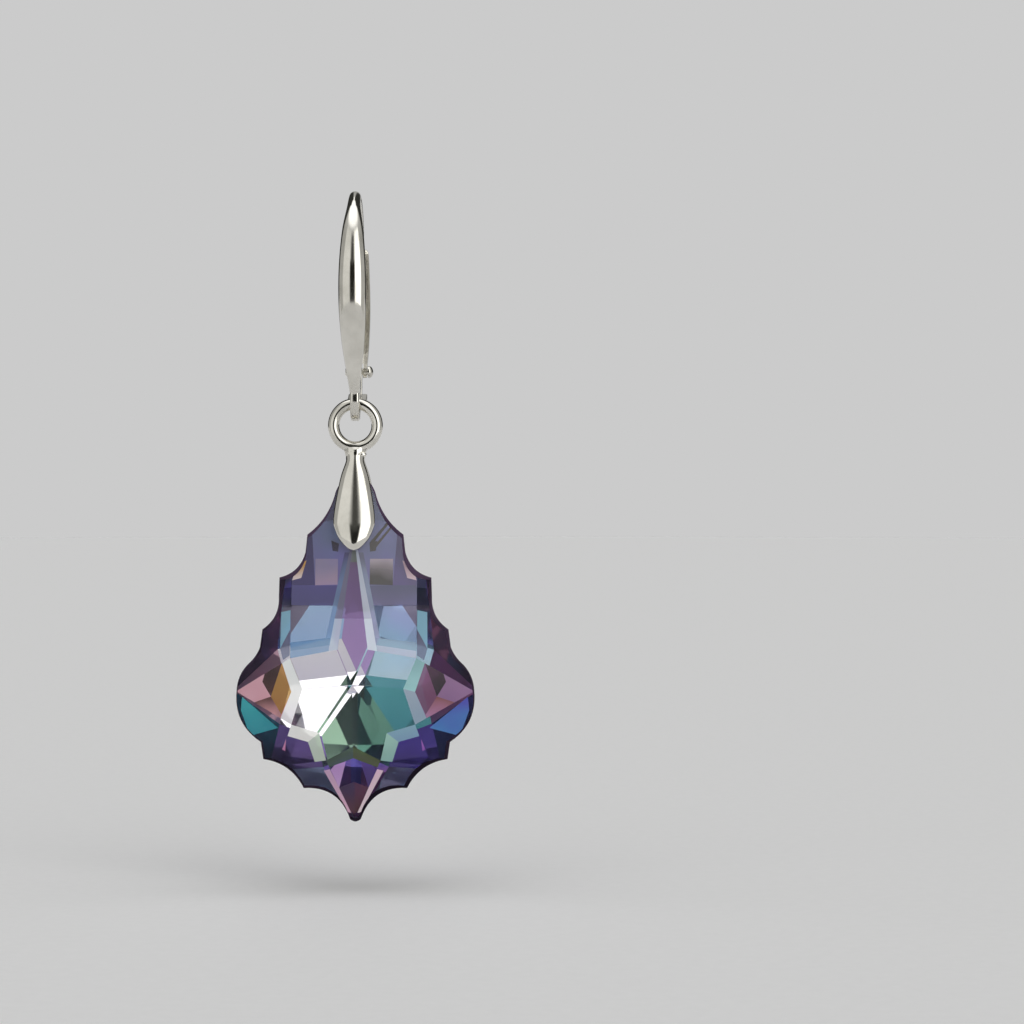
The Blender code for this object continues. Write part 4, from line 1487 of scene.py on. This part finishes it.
@dataclass
class Studio:
    """The pale floor, the soft light all round and the camera of the photograph."""

    floor_up: float = -43.3
    floor_front: float = 150.0
    floor_back: float = 2500.0
    floor_spread: float = 1400.0
    camera_place: Row = (9.88, -175.0, -19.51)
    lens: float = 97.5
    film: float = 36.0
    nearest: float = 5.0
    farthest: float = 20000.0
    # Enough for light to cross the crystal many times.
    bounces: int = 20
    backdrop: str = "#CBCBCB"

    # The room's tone from the horizon to straight up, and what stands before it.
    ROOM = ((0.0, "#B4B4B2"), (0.35, "#A8A8A6"), (1.0, "#E0E0E0"))
    PATCHES = (
        SoftPatch("ceiling", 0.0, 90.0, 200.0, 24.0, 16.0, "#FFFFFF", 1.42),
        SoftPatch("left box", -38.0, 14.0, 20.0, 34.0, 8.0, "#FFFFFC", 0.78),
        SoftPatch("right box", 36.0, 14.0, 17.0, 34.0, 8.0, "#FFFFFC", 1.75),
        SoftPatch("dark behind the camera", 0.0, 2.0, 11.0, 19.0, 5.0, "#20201E"),
        SoftPatch("grey above the dark", 0.0, 34.0, 5.0, 10.0, 7.0, "#4A4A48"),
        SoftPatch("dim back left", -142.0, 5.0, 24.0, 60.0, 10.0, "#343432"),
        SoftPatch("dim back right", 142.0, 5.0, 24.0, 60.0, 10.0, "#343432"),
    )

    def floor(self) -> None:
        """Model the floor as a sheet of paper: round in front, spreading far out behind."""
        bpy.ops.mesh.primitive_circle_add(vertices=FINE_ROUND, radius=self.floor_front * MM,
                                          fill_type="NGON", location=(0.0, 0.0, self.floor_up * MM))
        made = start("paper_floor")
        for vertex in made.data.vertices:
            if vertex.co.y > 0:
                vertex.co.x *= self.floor_spread / self.floor_front
                vertex.co.y *= self.floor_back / self.floor_front
        made.data.materials.append(StudioPaper().material())

    def light(self) -> None:
        """Set the light of the whole room, with its soft boxes and flags."""
        world = bpy.data.worlds.new("studio")
        bpy.context.scene.world = world
        world.use_nodes = True
        tree = world.node_tree
        tree.nodes.clear()
        towards = add_node(tree, "SeparateXYZ", [add_node(tree, "TexCoord")["Generated"]])
        front = add_node(tree, "Math", [towards["Y"], -1.0], operation="MULTIPLY")[0]
        turn = add_node(tree, "Math", [towards["X"], front], operation="ARCTAN2")[0]
        rise = add_node(tree, "Math", [towards["Z"]], operation="ARCSINE")[0]
        share = add_node(tree, "MapRange", [rise, 0.0, pi / 2])[0]
        colour = add_node(tree, "ValToRGB", [share], self.ROOM)[0]
        for patch in self.PATCHES:
            colour = patch.lay(tree, turn, rise, colour)
        # The camera sees an even backdrop, and the earring sees the room.
        layers = {"Factor": add_node(tree, "LightPath")["Is Camera Ray"],
                  MIX_UNDER: colour, MIX_OVER: linear(self.backdrop)}
        shown = add_node(tree, "Mix", layers, data_type="RGBA")[MIX_COLOUR]
        room = add_node(tree, "Background", {"Color": shown, "Strength": 1.0})[0]
        add_node(tree, "OutputWorld", {"Surface": room})

    def camera(self) -> None:
        """Place the camera where the photograph was taken from."""
        lens = bpy.data.cameras.new("camera")
        lens.lens = self.lens
        lens.sensor_width = self.film
        lens.clip_start = self.nearest * MM
        lens.clip_end = self.farthest * MM
        holder = bpy.data.objects.new("camera", lens)
        bpy.context.scene.collection.objects.link(holder)
        holder.location = Vector(self.camera_place) * MM
        holder.rotation_euler = (pi / 2, 0.0, 0.0)
        bpy.context.scene.camera = holder

    def build(self) -> None:
        """Set up the whole studio."""
        self.floor()
        self.light()
        self.camera()
        scene = bpy.context.scene
        scene.view_settings.view_transform = "Standard"
        scene.cycles.max_bounces = self.bounces
        scene.cycles.glossy_bounces = self.bounces
        scene.cycles.transmission_bounces = self.bounces


def main() -> None:
    """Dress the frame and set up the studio."""
    logging.basicConfig(level=logging.INFO, format="%(name)s: %(message)s")
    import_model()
    silver = PolishedSilver().material()
    crystal = Crystal(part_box("crystal_pendant")[0][2] / MM)
    hinge = Hinge()
    bail_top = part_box("pinch_bail")[1][2] / MM
    bail = PinchBail(crystal.half_depth, bail_top - PinchBail.ring / 2, crystal.hole_up)
    made = EarWire(hinge).build(silver) + Lever(hinge).build(silver) + Rivet(hinge).build(silver)
    made += bail.build(silver) + crystal.build()
    for piece in made:
        LOG.info("%s has %d faces", piece.name, len(piece.data.polygons))
    Studio().build()


if __name__ == "__main__":
    main()
